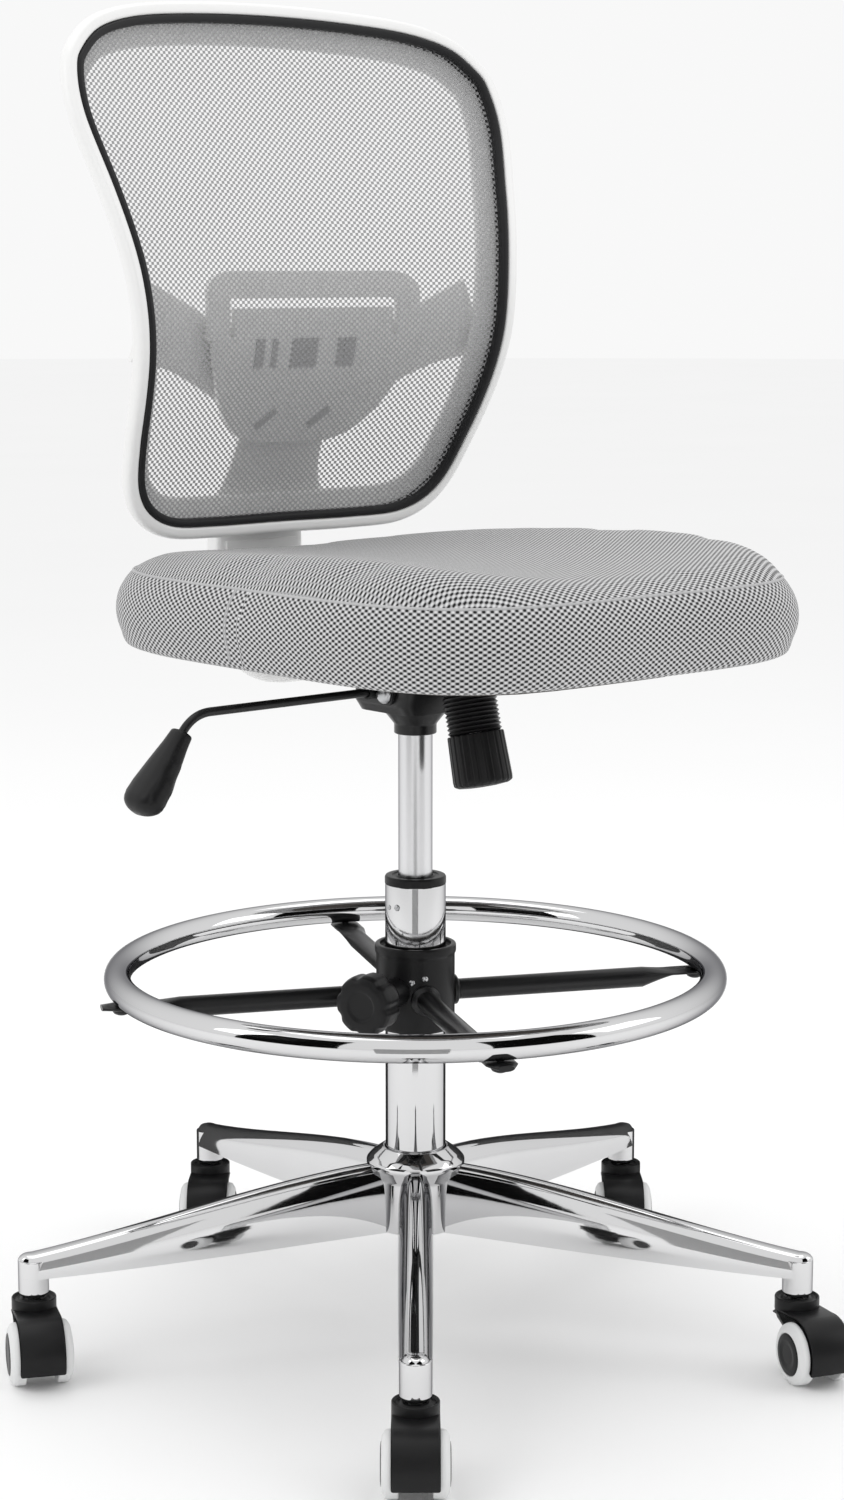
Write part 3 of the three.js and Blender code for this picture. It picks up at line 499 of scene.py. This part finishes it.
thread = np.concatenate([[(0, 48.5)], thread.reshape(-1, 2), [(0, 63)]])
piece("clamp_thread", [turned(thread, CLAMP_AT, CLAMP_OUT, 32, False)], steel, "clamp_knob")

# ---------------------------------------------------------------------------------------------
# The tilt mechanism: a deep pressed box of black steel on the cylinder's taper, with a shallow
# nose over the tension spring, a welded cone under it, and the tilt axle through its sides.
level = np.array([525, 525.6, 528, 531, 534, 540, 545.5, 548, 552, 556, 558.6, 560, 561.5, 562.5])


def tub_rings(wall):
    """Rings up the box: at each level a rectangle with rounded corners, whose front edge runs out
    under the nose; the last ring is cut down at the back by the box's sloping top edge."""
    half = np.interp(level, [525, 534], [35, 42]) - wall
    front = np.interp(level, [525, 545.5, 560, 561], [-33, -39, -100, -100]) + wall
    middle, reach = (front + 32 - wall) / 2, (32 - wall - front) / 2
    turn = np.linspace(0, 2 * np.pi, 96, endpoint=False)
    square = (np.abs(np.cos(turn)) ** 9 + np.abs(np.sin(turn)) ** 9) ** (-1 / 9)
    x = half[:, None] * square * np.cos(turn)
    y = middle[:, None] + reach[:, None] * square * np.sin(turn)
    z = np.maximum(level[:, None], 525 + wall) + (0 * x)
    return np.stack([x, y, np.minimum(z, np.interp(y, [-15, 32], [562.5, 551]))], -1)


cone = turned(eased([(14.5, 505), (17.4, 505), (17.4, 513), (27, 525), (27, 527.5), (14.5, 527.5)], 1.2),
              sides=72)
piece("tilt_box", [skin(np.concatenate([tub_rings(0), tub_rings(2.5)[::-1]])), cone], powder, "mechanism",
      ["tilt_housing"], crease=50)
axle_head = [(8, 46.1), (8, 47.2), (6.6, 49), (3.6, 50), (0, 50.3)]
axle_line = [(r, -x) for r, x in axle_head[::-1]] + [(5, -46.1), (5, 46.1)] + axle_head
piece("tilt_pin", [turned(axle_line, (0, -15, 543), (1, 0, 0), 40, False)], steel, "mechanism",
      ["tilt_axle"])

# ---------------------------------------------------------------------------------------------
# Tilt tension: a black coil spring sleeve with sharp ribs, and a fluted knob screwed on a bolt
# below it, on an axis that leans back.
TENSION_AT, TENSION_UP = (0, -70, 525), (0, math.sin(math.radians(14)), math.cos(math.radians(14)))
ribs = np.linspace(-12, 26.2, 12)
rib_line = np.stack([20.2 + 0 * ribs[:-1], ribs[:-1], 22 + 0 * ribs[:-1], ribs[:-1] + 0.55 * np.diff(ribs)],
                    1).reshape(-1, 2)
piece("tension_coil", [turned(np.concatenate([rib_line, [(20.2, 26.2), (17, 26.2), (17, -12)]]), TENSION_AT,
                              TENSION_UP, 72)], powder, "mechanism", ["tension_spring"],
      crease=25)
knob_line = eased([(0, -55.6), (10, -55.4), (20, -54.4), (23.6, -52.4), (24, -49), (22.8, -12.4), (6, -12.4),
                   (5.4, -13.4), (5.4, -47.8), (0, -47.8)], 1.0, False)
turn = np.linspace(0, 2 * np.pi, 192, endpoint=False)
flute = np.where(np.cos(24 * turn) > 0.3, 0.975, 1.0)
flute_share = np.clip((knob_line[:, :1] - 21.5) / 1.0, 0, 1)
radius = knob_line[:, :1] * (1 + flute_share * (flute - 1))
up, side = np.array(TENSION_UP), np.array([1.0, 0, 0])
fore = np.cross(up, side)
tension_points = (np.array(TENSION_AT) + knob_line[:, 1, None, None] * up
                  + (radius * np.cos(turn))[..., None] * side + (radius * np.sin(turn))[..., None] * fore)
piece("tension_grip", [skin(tension_points, ends=False)], nylon, "tension_knob",
      ["tension_knob"])
dressed(steel, "tension_bolt")

# ---------------------------------------------------------------------------------------------
# The lever: a bent black steel rod in a nylon bush in the box's side. Its drooping end carries a
# paddle of soft black plastic with a raised ridge along it.
DROOP = math.radians(53)


def swept(path, section, up):
    """A section of (side, lift) points carried along a path, square to it: side lies across the
    path and `up`, and lift is square to both."""
    path = np.asarray(path, float)
    ahead = np.gradient(path, axis=0)
    ahead = ahead / np.linalg.norm(ahead, axis=1, keepdims=True)
    side = np.cross(ahead, up)
    side = side / np.linalg.norm(side, axis=1, keepdims=True)
    lift = np.cross(side, ahead)
    section = np.broadcast_to(section, (len(path),) + np.shape(section)[-2:])
    return skin(path[:, None] + section[..., :1] * side[:, None] + section[..., 1:] * lift[:, None])


round_bar = 3.5 * np.stack([np.cos(edge), np.sin(edge)], 1)
bent = eased([(12, 0, 543), (-225.8, 0, 543), (-253, 0, 506.9)], 17, False, 14)
piece("lever_bar", [swept(bent, round_bar, (0, 1, 0))], powder, "lever", ["lever_rod"])

s = np.concatenate([[0, 0.4, 1.4], np.linspace(4, 62, 30),
                    62 + 10 * np.sin(np.linspace(0.1, 0.5, 9) * np.pi)])
close = (np.sqrt(np.clip(1 - (np.clip(s - 60, 0, 12.2) / 12.3) ** 2, 0.0005, 1))
         * np.interp(s, [0, 0.4, 1.4], [0.86, 0.94, 1]))
wide = np.interp(s, [0, 12, 30, 48, 60, 72], [9.0, 10.4, 14.2, 17.6, 18.8, 18.8]) * close
thick = np.interp(s, [0, 12, 30, 48, 60, 72], [7.0, 7.8, 9.6, 11.2, 11.6, 11.6]) * close
turn = np.linspace(0, 2 * np.pi, 64, endpoint=False)
plump = (np.abs(np.cos(turn)) ** 2.8 + np.abs(np.sin(turn)) ** 2.8) ** (-1 / 2.8)
ridge = (1 + 0.09 * np.exp(-((np.abs(np.sin(turn)) - 0.62) / 0.12) ** 2)
         * np.clip(s / 14, 0, 1)[:, None] * (s < 60)[:, None])
scallop = 1 + 0.03 * np.sin(s / 3.2)[:, None] * (np.cos(turn) < -0.7) * (s > 24)[:, None]
paddle_y = wide[:, None] * plump * np.cos(turn) * scallop
paddle_n = thick[:, None] * plump * np.sin(turn) * ridge
down, normal = np.array([-math.cos(DROOP), 0, -math.sin(DROOP)]), np.array([-math.sin(DROOP), 0,
                                                                            math.cos(DROOP)])
paddle = (np.array([-236, 0, 529.4]) + s[:, None, None] * down + paddle_y[..., None] * np.array([0, 1.0, 0])
          + paddle_n[..., None] * normal)
piece("lever_paddle", [skin(paddle)], nylon, "lever", ["lever_handle"], crease=60)
piece("lever_sleeve", [turned(eased([(3.8, -52), (6, -52), (6, -38), (3.8, -38)], 0.5), (0, 0, 543),
                              (1, 0, 0), 40)], nylon, "lever_bush", ["lever_bush"])

# ---------------------------------------------------------------------------------------------
# Under the seat: a pressed steel plate with two ears on the tilt axle, screwed to a plywood pan
# that is stapled into the cushion.
plywood = Finish("stained plywood", (0.05, 0.045, 0.04), 0.7)
grain = plywood.noise(30.0, (1, 12, 1))
plywood.set("Base Color", plywood.mix(grain, (0.035, 0.03, 0.027), (0.075, 0.066, 0.058)))
plywood.bump(grain, 0.0002)
dressed(powder, "seat_plate")
dressed(plywood, "seat_pan")

# ---------------------------------------------------------------------------------------------
# The seat: moulded foam in a spacer fabric of pale threads with staggered holes, painted near-black as shade.
# A boxing strip goes round the side, sewn to the top panel; the top is dished between raised thighs.
SEAT_Y, SEAT_DEPTH, SEAT_WIDTH, SQUARE = -46, 241, 220, 4.2
SEAT_LOW, SEAM_Z = 577, 640
around = np.linspace(0, 2 * np.pi, 300, endpoint=False)
WEAVE = (0.0066, 0.0042)


def outline(grow, turn):
    """The seat's plan: a squarish oval, |x/a|^n + |y/b|^n = 1, with both half sizes grown."""
    c, s = np.cos(turn), np.sin(turn)
    far = (np.abs(c) ** SQUARE + np.abs(s) ** SQUARE) ** (-1 / SQUARE)
    return (SEAT_WIDTH + grow) * far * c, SEAT_Y + (SEAT_DEPTH + grow) * far * s


def seat_top(x, y, share):
    """Height over the seam: a soft shoulder 1 - share^16 times a rise that grows towards the front
    and towards both sides."""
    front = np.clip((190 - y) / 330, 0, 1)
    front = front * front * (3 - 2 * front)
    sides = 0.3 + 0.7 * np.clip(np.abs(x) / 175, 0, 1) ** 2
    return (1 - share**16) * (11 + 14 * front) * sides


side_rows = np.array([(-20, 0), (-11, 2.5), (-5, 8), (-0.5, 17), (2, 28), (2, 38), (-0.6, 49), (-5, 57.5),
                      (-8.2, 61.8), (-9.4, 63)])
x, y = outline(0, around)
under = [np.stack([x * share, y * share + SEAT_Y * (1 - share), 0 * around + SEAT_LOW], 1)
         for share in (0, 0.3, 0.6, 0.85)]
sides = [np.stack([*outline(grow, around), 0 * around + SEAT_LOW + up], 1) for grow, up in side_rows]
tops = []
for share in (0.985, 0.96, 0.93, 0.89, 0.84, 0.78, 0.7, 0.6, 0.5, 0.4, 0.3, 0.2, 0.1, 0):
    x, y = outline(-9.4, around)
    x, y = x * share, SEAT_Y + (y - SEAT_Y) * share
    tops.append(np.stack([x, y, SEAM_Z + seat_top(x, y, share)], 1))

spacer = Finish("spacer fabric", (0.5, 0.5, 0.505), 0.85, Sheen_Weight=0.25, Specular_IOR_Level=0.25)
weave = spacer.place((1 / WEAVE[0], 1 / WEAVE[1], 1), uv=True)
wave = (spacer.node("ShaderNodeMath", {"operation": "COSINE"}, {0: spacer.along(weave, 0) * (2 * math.pi)})
        * spacer.node("ShaderNodeMath", {"operation": "COSINE"}, {0: spacer.along(weave, 1) * (2 * math.pi)}))
hole = spacer.step(wave, 0.14, 0.44)
slope = spacer.step(wave, -0.9, 0.3)
tone = spacer.mix(spacer.noise(7.0), (0.62, 0.62, 0.625), (0.72, 0.72, 0.725))
# Painted shade: slope darkens the yarn to 0.3 grey on its sides as they fall away into the holes.
yarn = spacer.node("ShaderNodeMix", {"data_type": "RGBA"}, {0: slope, 6: tone, 7: (0.3, 0.3, 0.305, 1)}, 2)
# Painted shade: the holes are near-black for the shade in their depth. Where the holes lie, and the bump, are
# the weave's own.
spacer.set("Base Color", spacer.node("ShaderNodeMix", {"data_type": "RGBA"},
                                     {0: hole, 6: yarn, 7: (0.012, 0.012, 0.012, 1)}, 2))
spacer.bump((1 - hole) + spacer.noise(1500.0) * 0.3, 0.0005)

pad = piece("seat_pad", [skin(np.stack(under + sides + tops), ends=False)], spacer, "seat",
            ["seat_cushion"], crease=180)


def puffed(soft, voxel, most):
    """Blows the pad up as cloth: even faces, pressure inside, no gravity, twenty steps, and no point
    moved further than `most` metres from where it began."""
    bpy.context.view_layer.objects.active = soft
    even = soft.modifiers.new("even faces", "REMESH")
    even.mode, even.voxel_size = "VOXEL", voxel
    bpy.ops.object.modifier_apply(modifier=even.name)
    count = len(soft.data.vertices)
    start = np.empty(count * 3)
    soft.data.vertices.foreach_get("co", start)
    cloth = soft.modifiers.new("cover", "CLOTH")
    cloth.settings.use_pressure = True
    cloth.settings.uniform_pressure_force = 4
    cloth.settings.tension_stiffness = cloth.settings.compression_stiffness = 15
    cloth.settings.effector_weights.gravity = 0
    for step in range(1, 21):
        scene.frame_set(step)
    blown = np.empty(count * 3)
    soft.evaluated_get(bpy.context.evaluated_depsgraph_get()).data.vertices.foreach_get("co", blown)
    soft.modifiers.remove(cloth)
    scene.frame_set(1)
    start, move = start.reshape(-1, 3), (blown - start).reshape(-1, 3)
    far = np.linalg.norm(move, axis=1, keepdims=True)
    held = np.clip((start[:, 2:] - 0.581) / 0.01, 0, 1)
    move = move * held * (most * np.tanh(far / most) / np.maximum(far, 1e-9))
    soft.data.vertices.foreach_set("co", (start + move).ravel())
    finer = soft.modifiers.new("finer", "SUBSURF")
    finer.levels = finer.render_levels = 1
    bpy.ops.object.modifier_apply(modifier=finer.name)


puffed(pad, 0.006, 0.005)


def weave_map(soft):
    """Lays the weave on the pad: the top and the underside by plan, the side strip by the distance
    round the seat and the height, face by face so that a cut falls at the seams."""
    mesh = soft.data
    points = np.empty(len(mesh.vertices) * 3)
    mesh.vertices.foreach_get("co", points)
    points = points.reshape(-1, 3)
    corner = np.empty(len(mesh.loops), int)
    mesh.loops.foreach_get("vertex_index", corner)
    size = np.empty(len(mesh.polygons), int)
    mesh.polygons.foreach_get("loop_total", size)
    face = np.repeat(np.arange(len(size)), size)
    middle = np.stack([np.bincount(face, points[corner, k]) for k in range(3)], 1) / size[:, None]
    strip = (middle[:, 2] < SEAM_Z * 0.001) & (middle[:, 2] > (SEAT_LOW + 2) * 0.001)
    turn = np.linspace(-np.pi, np.pi, 721)
    x, y = outline(0, turn)
    run = np.concatenate([[0], np.cumsum(np.hypot(np.diff(x), np.diff(y)))]) * 0.001
    plan = np.stack([x, y], 1) * 0.001
    angle = np.unwrap(np.arctan2(plan[:, 1] - SEAT_Y * 0.001, plan[:, 0]))
    own = np.arctan2(points[corner, 1] - SEAT_Y * 0.001, points[corner, 0])
    mid = np.arctan2(middle[face, 1] - SEAT_Y * 0.001, middle[face, 0])
    own = mid + (own - mid + np.pi) % (2 * np.pi) - np.pi
    round_run = np.interp(own, angle, run)
    uv = np.where(strip[face, None], np.stack([round_run, points[corner, 2]], 1), points[corner, :2])
    mesh.uv_layers.new(name="weave").data.foreach_set("uv", uv.ravel())


weave_map(pad)
pad.data.shade_smooth()

# The seam between the top and the boxing strip, and the short upright seam in the strip on the
# sitter's right: rolled fabric edges sewn through, lying just proud of the pad.
bpy.context.view_layer.update()


def on_pad(turn, z):
    """Where the pad's side is, looking in from outside at one angle and height, in mm."""
    x, y = outline(60, turn)
    start, middle = np.array([x, y, z]), np.array([0, SEAT_Y, z])
    return np.array(pad.ray_cast(start * 0.001, middle - start)[1]) * 1000


sewn = moulded("sewn edge", (0.46, 0.46, 0.465), 0.85, grain=0.0003, speck=0.06)
seam_path = np.array([on_pad(turn, SEAM_Z) for turn in around])
ahead = np.roll(seam_path, -1, 0) - np.roll(seam_path, 1, 0)
ahead /= np.linalg.norm(ahead, axis=1, keepdims=True)
outward = np.cross(ahead, (0, 0, 1.0))
roll = 1.2 * np.stack([np.cos(edge[::2]) - 0.4, np.sin(edge[::2])], 1)
seam_ring = (seam_path[:, None] + roll[None, :, :1] * outward[:, None]
             + roll[None, :, 1:] * np.array([0, 0, 1.0]))
stitch_path = np.array([on_pad(math.radians(176), z) for z in np.linspace(SEAM_Z, SEAT_LOW + 8, 24)])
stitch_ring = swept(stitch_path, 0.9 * np.stack([np.cos(edge[::2]), np.sin(edge[::2])], 1), (0, 1, 0))
piece("seat_seam", [skin(seam_ring, closed_rows=True), stitch_ring], sewn, "seat")

# ---------------------------------------------------------------------------------------------
# The upright: a white moulded arm from under the seat, back round a belly and up behind the pad,
# thinning to a tongue behind the back's bracket. A small cover closes the front of its top.
white = moulded("white plastic", (0.82, 0.82, 0.815), 0.32, grain=0.00005, speck=0.02)


def through(points, count, closed=False):
    """A smooth line through points: between two of them, the cubic whose slope at each is half the
    step between its neighbours."""
    points = np.asarray(points, float)
    spans = len(points) if closed else len(points) - 1
    t = np.linspace(0, spans, count, endpoint=not closed)
    i = np.minimum(t.astype(int), spans - 1)
    f = (t - i)[:, None]

    def pick(k):
        return points[(i + k) % len(points)] if closed else points[np.clip(i + k, 0, spans)]

    a, b, c, d = pick(-1), pick(0), pick(1), pick(2)
    return b + 0.5 * f * (c - a + f * (2 * a - 5 * b + 4 * c - d + f * (3 * (b - c) + d - a)))


def blunt(half, tall, power, sides=48):
    """Sections that are nearly rectangles: |side/half|^n + |lift/tall|^n = 1."""
    turn = np.linspace(0, 2 * np.pi, sides, endpoint=False)
    far = (np.abs(np.cos(turn)) ** power + np.abs(np.sin(turn)) ** power) ** (-1 / power)
    return np.stack([np.asarray(half)[..., None] * far * np.cos(turn),
                     np.asarray(tall)[..., None] * far * np.sin(turn)], -1)


arm = through([(108, 556, 33, 11), (140, 545, 36, 11), (172, 547, 40, 11), (197, 563, 44, 11),
               (209, 590, 46, 11), (211, 620, 46, 11), (211, 648, 46, 10.6), (208.6, 668, 45, 8.4),
               (203.4, 690, 42, 5.4), (196, 712, 38, 4)], 90)
arm_path = np.stack([0 * arm[:, 0], arm[:, 0], arm[:, 1]], 1)
ahead = np.gradient(arm_path, axis=0)
ahead /= np.linalg.norm(ahead, axis=1, keepdims=True)
section = blunt(arm[:, 2], arm[:, 3], 7)
piece("back_arm", [skin(arm_path[:, None] + section[..., :1] * np.array([1.0, 0, 0])
                        + section[..., 1:] * np.cross([1.0, 0, 0], ahead)[:, None])],
      white, "seat", ["back_upright"], crease=60)
cover_line = eased([(199.2, 606), (202.4, 606), (202.4, 650), (199.2, 650)], 0.8)
piece("arm_cover", [slab(cover_line, 78, 0.8)], white, "seat", ["upright_cover"])

# ---------------------------------------------------------------------------------------------
# The back: a white moulded frame round a stretched net, held in by a black rubber gasket. The
# whole back bends: furthest forward at the lumbar, with both sides wrapped a little forward.
BACK_OUTLINE = [(0, 657), (75, 657), (124, 660), (156, 674), (176, 699), (187, 738), (194, 780), (199, 820),
                (206, 877), (218, 938), (230, 997), (227, 1036), (215, 1056), (188, 1076), (143, 1088),
                (76, 1094), (0, 1096)]


def back_y(x, z):
    """The back's surface: half cosines from the lumbar up to the top and down to the bottom, less a
    wrap that grows with the square of the distance from the middle."""
    high = 122 + 69 * (1 - np.cos(np.pi * np.clip((z - 840) / 258, 0, 1))) / 2
    low = 122 + 54 * (1 - np.cos(np.pi * np.clip((840 - z) / 185, 0, 1))) / 2
    return np.where(z > 840, high, low) - 16 * (x / 180) ** 2


half_line = np.array(BACK_OUTLINE, float)
rim = through(np.concatenate([half_line, half_line[-2:0:-1] * (-1, 1)]), 2400, True)
run = np.concatenate([[0], np.cumsum(np.linalg.norm(np.roll(rim, -1, 0) - rim, axis=1))])
even = np.linspace(0, run[-1], 320, endpoint=False)
rim = np.stack([np.interp(even, run, np.append(rim[:, k], rim[0, k])) for k in (0, 1)], 1)
rim_x, rim_z = rim.T
tangent = np.roll(rim, -1, 0) - np.roll(rim, 1, 0)
tangent = tangent / np.linalg.norm(tangent, axis=1, keepdims=True)
rear = np.stack([back_y(rim_x - 1, rim_z) - back_y(rim_x + 1, rim_z), 2 + 0 * rim_x,
                 back_y(rim_x, rim_z - 1) - back_y(rim_x, rim_z + 1)], 1)
rear = rear / np.linalg.norm(rear, axis=1, keepdims=True)
inward = np.stack([-tangent[:, 1], 0 * rim_x, tangent[:, 0]], 1)
inward = inward - np.sum(inward * rear, 1, keepdims=True) * rear
inward = inward / np.linalg.norm(inward, axis=1, keepdims=True)
rim_points = np.stack([rim_x, back_y(rim_x, rim_z), rim_z], 1)


def bead(section):
    """A section of (inward, rearward) points carried round the outline."""
    section = np.asarray(section, float)
    return skin(rim_points[:, None] + section[None, :, :1] * inward[:, None]
                + section[None, :, 1:] * rear[:, None], closed_rows=True)


rubber = moulded("black rubber", (0.012, 0.012, 0.013), 0.5, speck=0.004, Specular_IOR_Level=0.25)
piece("back_rim", [bead(eased([(0, -2.5), (2.5, -6), (10, -6.6), (10.4, 6), (33, 7.4), (35, 9.5), (34, 13.4),
                               (14, 14), (0, 4)], 2.4))], white, "seat", ["back_frame"],
      crease=60)
piece("rim_gasket", [bead(eased([(10.2, -5.4), (11.8, -7.4), (15.8, -7.4), (17.4, -5.4), (17.4, 5),
                                 (10.2, 5)], 1.4))], rubber, "seat", ["frame_gasket"], crease=60)

net = Finish("back net", (0.36, 0.36, 0.365), 0.8, Specular_IOR_Level=0.2)
NET_PITCH = (0.0058, 0.0048)
spot = net.place((1 / NET_PITCH[0], 1, 1 / NET_PITCH[1]))
net_wave = (net.node("ShaderNodeMath", {"operation": "COSINE"}, {0: net.along(spot, 0) * (2 * math.pi)})
            * net.node("ShaderNodeMath", {"operation": "COSINE"}, {0: net.along(spot, 2) * (2 * math.pi)}))
net_hole = net.step(net_wave, -0.2, 0.24)
net.set("Alpha", 1 - net_hole)
net.set("Base Color", net.mix(net.noise(8.0), (0.3, 0.3, 0.305), (0.37, 0.37, 0.375)))
net.bump(net_wave, 0.0003)

shares = np.linspace(1, 0, 22)[:, None]
edge_points = rim_points + 14 * inward
net_x = edge_points[:, 0] * shares
net_z = 872 + (edge_points[:, 2] - 872) * shares
net_sheet = skin(np.stack([net_x, back_y(net_x, net_z) - 0.5, net_z], -1), ends=False)
net_piece = piece("back_net", [net_sheet], net, "seat", ["back_mesh"], crease=180)
BEND_LENGTHENS = 1.04
flat_area = 0.5 * BEND_LENGTHENS * 1e-6 * abs(np.sum(edge_points[:, 0] * np.roll(edge_points[:, 2], -1)
                                                     - np.roll(edge_points[:, 0], -1) * edge_points[:, 2]))

# ---------------------------------------------------------------------------------------------
# Behind the net: a white Y-shaped bracket from the upright to both sides of the frame, and in
# front of it the lumbar pad, a curved plate with a slot across it that slides up and down.


def band(line, half, front, thick, power=6):
    """A flat band that follows the back: a line of (x, z), its half-width across that line, and a
    nearly rectangular section between two depths behind the back's surface."""
    line = np.asarray(line, float)
    ahead = np.gradient(line, axis=0)
    ahead = ahead / np.linalg.norm(ahead, axis=1, keepdims=True)
    sideways = np.stack([ahead[:, 1], -ahead[:, 0]], 1)
    section = blunt(half, np.full(len(line), thick / 2), power, 56)
    flat = line[:, None] + section[..., :1] * sideways[:, None]
    y = back_y(flat[..., 0], flat[..., 1]) + front + thick / 2 + section[..., 1]
    return skin(np.stack([flat[..., 0], y, flat[..., 1]], -1))


spine = through([(0, 676, 70), (0, 700, 52), (0, 735, 46), (0, 770, 54), (0, 800, 78), (0, 822, 60)], 60)
bracket = [band(spine[:, :2], spine[:, 2], 18.4, 6.6)]
for way in (1, -1):
    reach = through([(20 * way, 786, 40), (60 * way, 797, 33), (104 * way, 812, 27), (138 * way, 826, 28),
                     (177 * way, 838, 33)], 50)
    bracket.append(band(reach[:, :2], reach[:, 2], 18.2, 6.4))
piece("back_yoke", bracket, white, "seat", ["back_bracket"], crease=60)

plate = through([(0, 735, 40), (0, 741, 58), (0, 752, 74), (0, 772, 90), (0, 804, 104), (0, 824, 109)], 44)
upper = [(0, 823, 85), (0, 832, 85), (0, 841, 85), (0, 847, 85)]
lintel = through([(0, 855, 113), (0, 862, 113), (0, 869, 109), (0, 874, 101), (0, 877, 90)], 24)
pad_shells = [band(line[:, :2], line[:, 2], 6.3, 6, 12) for line in (plate, np.array(upper), lintel)]
pad_shells += [band([(way * 101, 822), (way * 101, 840), (way * 101, 856)], np.full(3, 11.8), 6.3, 6, 12)
               for way in (1, -1)]
piece("lumbar_plate", pad_shells, white, "lumbar_pad", ["lumbar_pad"], crease=60)
# Painted shade: grey strips lying just proud of the pad's face stand for the shade in its recesses.
shadow_grey = moulded("recess shadow", (0.36, 0.36, 0.365), 0.6, speck=0.02)
recess_shade_strips = [band(np.stack([np.full(6, x), np.linspace(798, 822, 6)], 1), np.full(6, half), 5.5, 1.4, 8)
         for x, half in ((-56, 5), (-40, 3), (-8, 14), (30, 3), (40, 6))]
recess_shade_strips += [band(np.stack([x + np.linspace(-9, 9, 6), np.linspace(748, 762, 6)], 1), np.full(6, 3), 5.5, 1.4,
               8) for x in (-34, 22)]
piece("lumbar_recess_shade", recess_shade_strips, shadow_grey, "lumbar_pad")
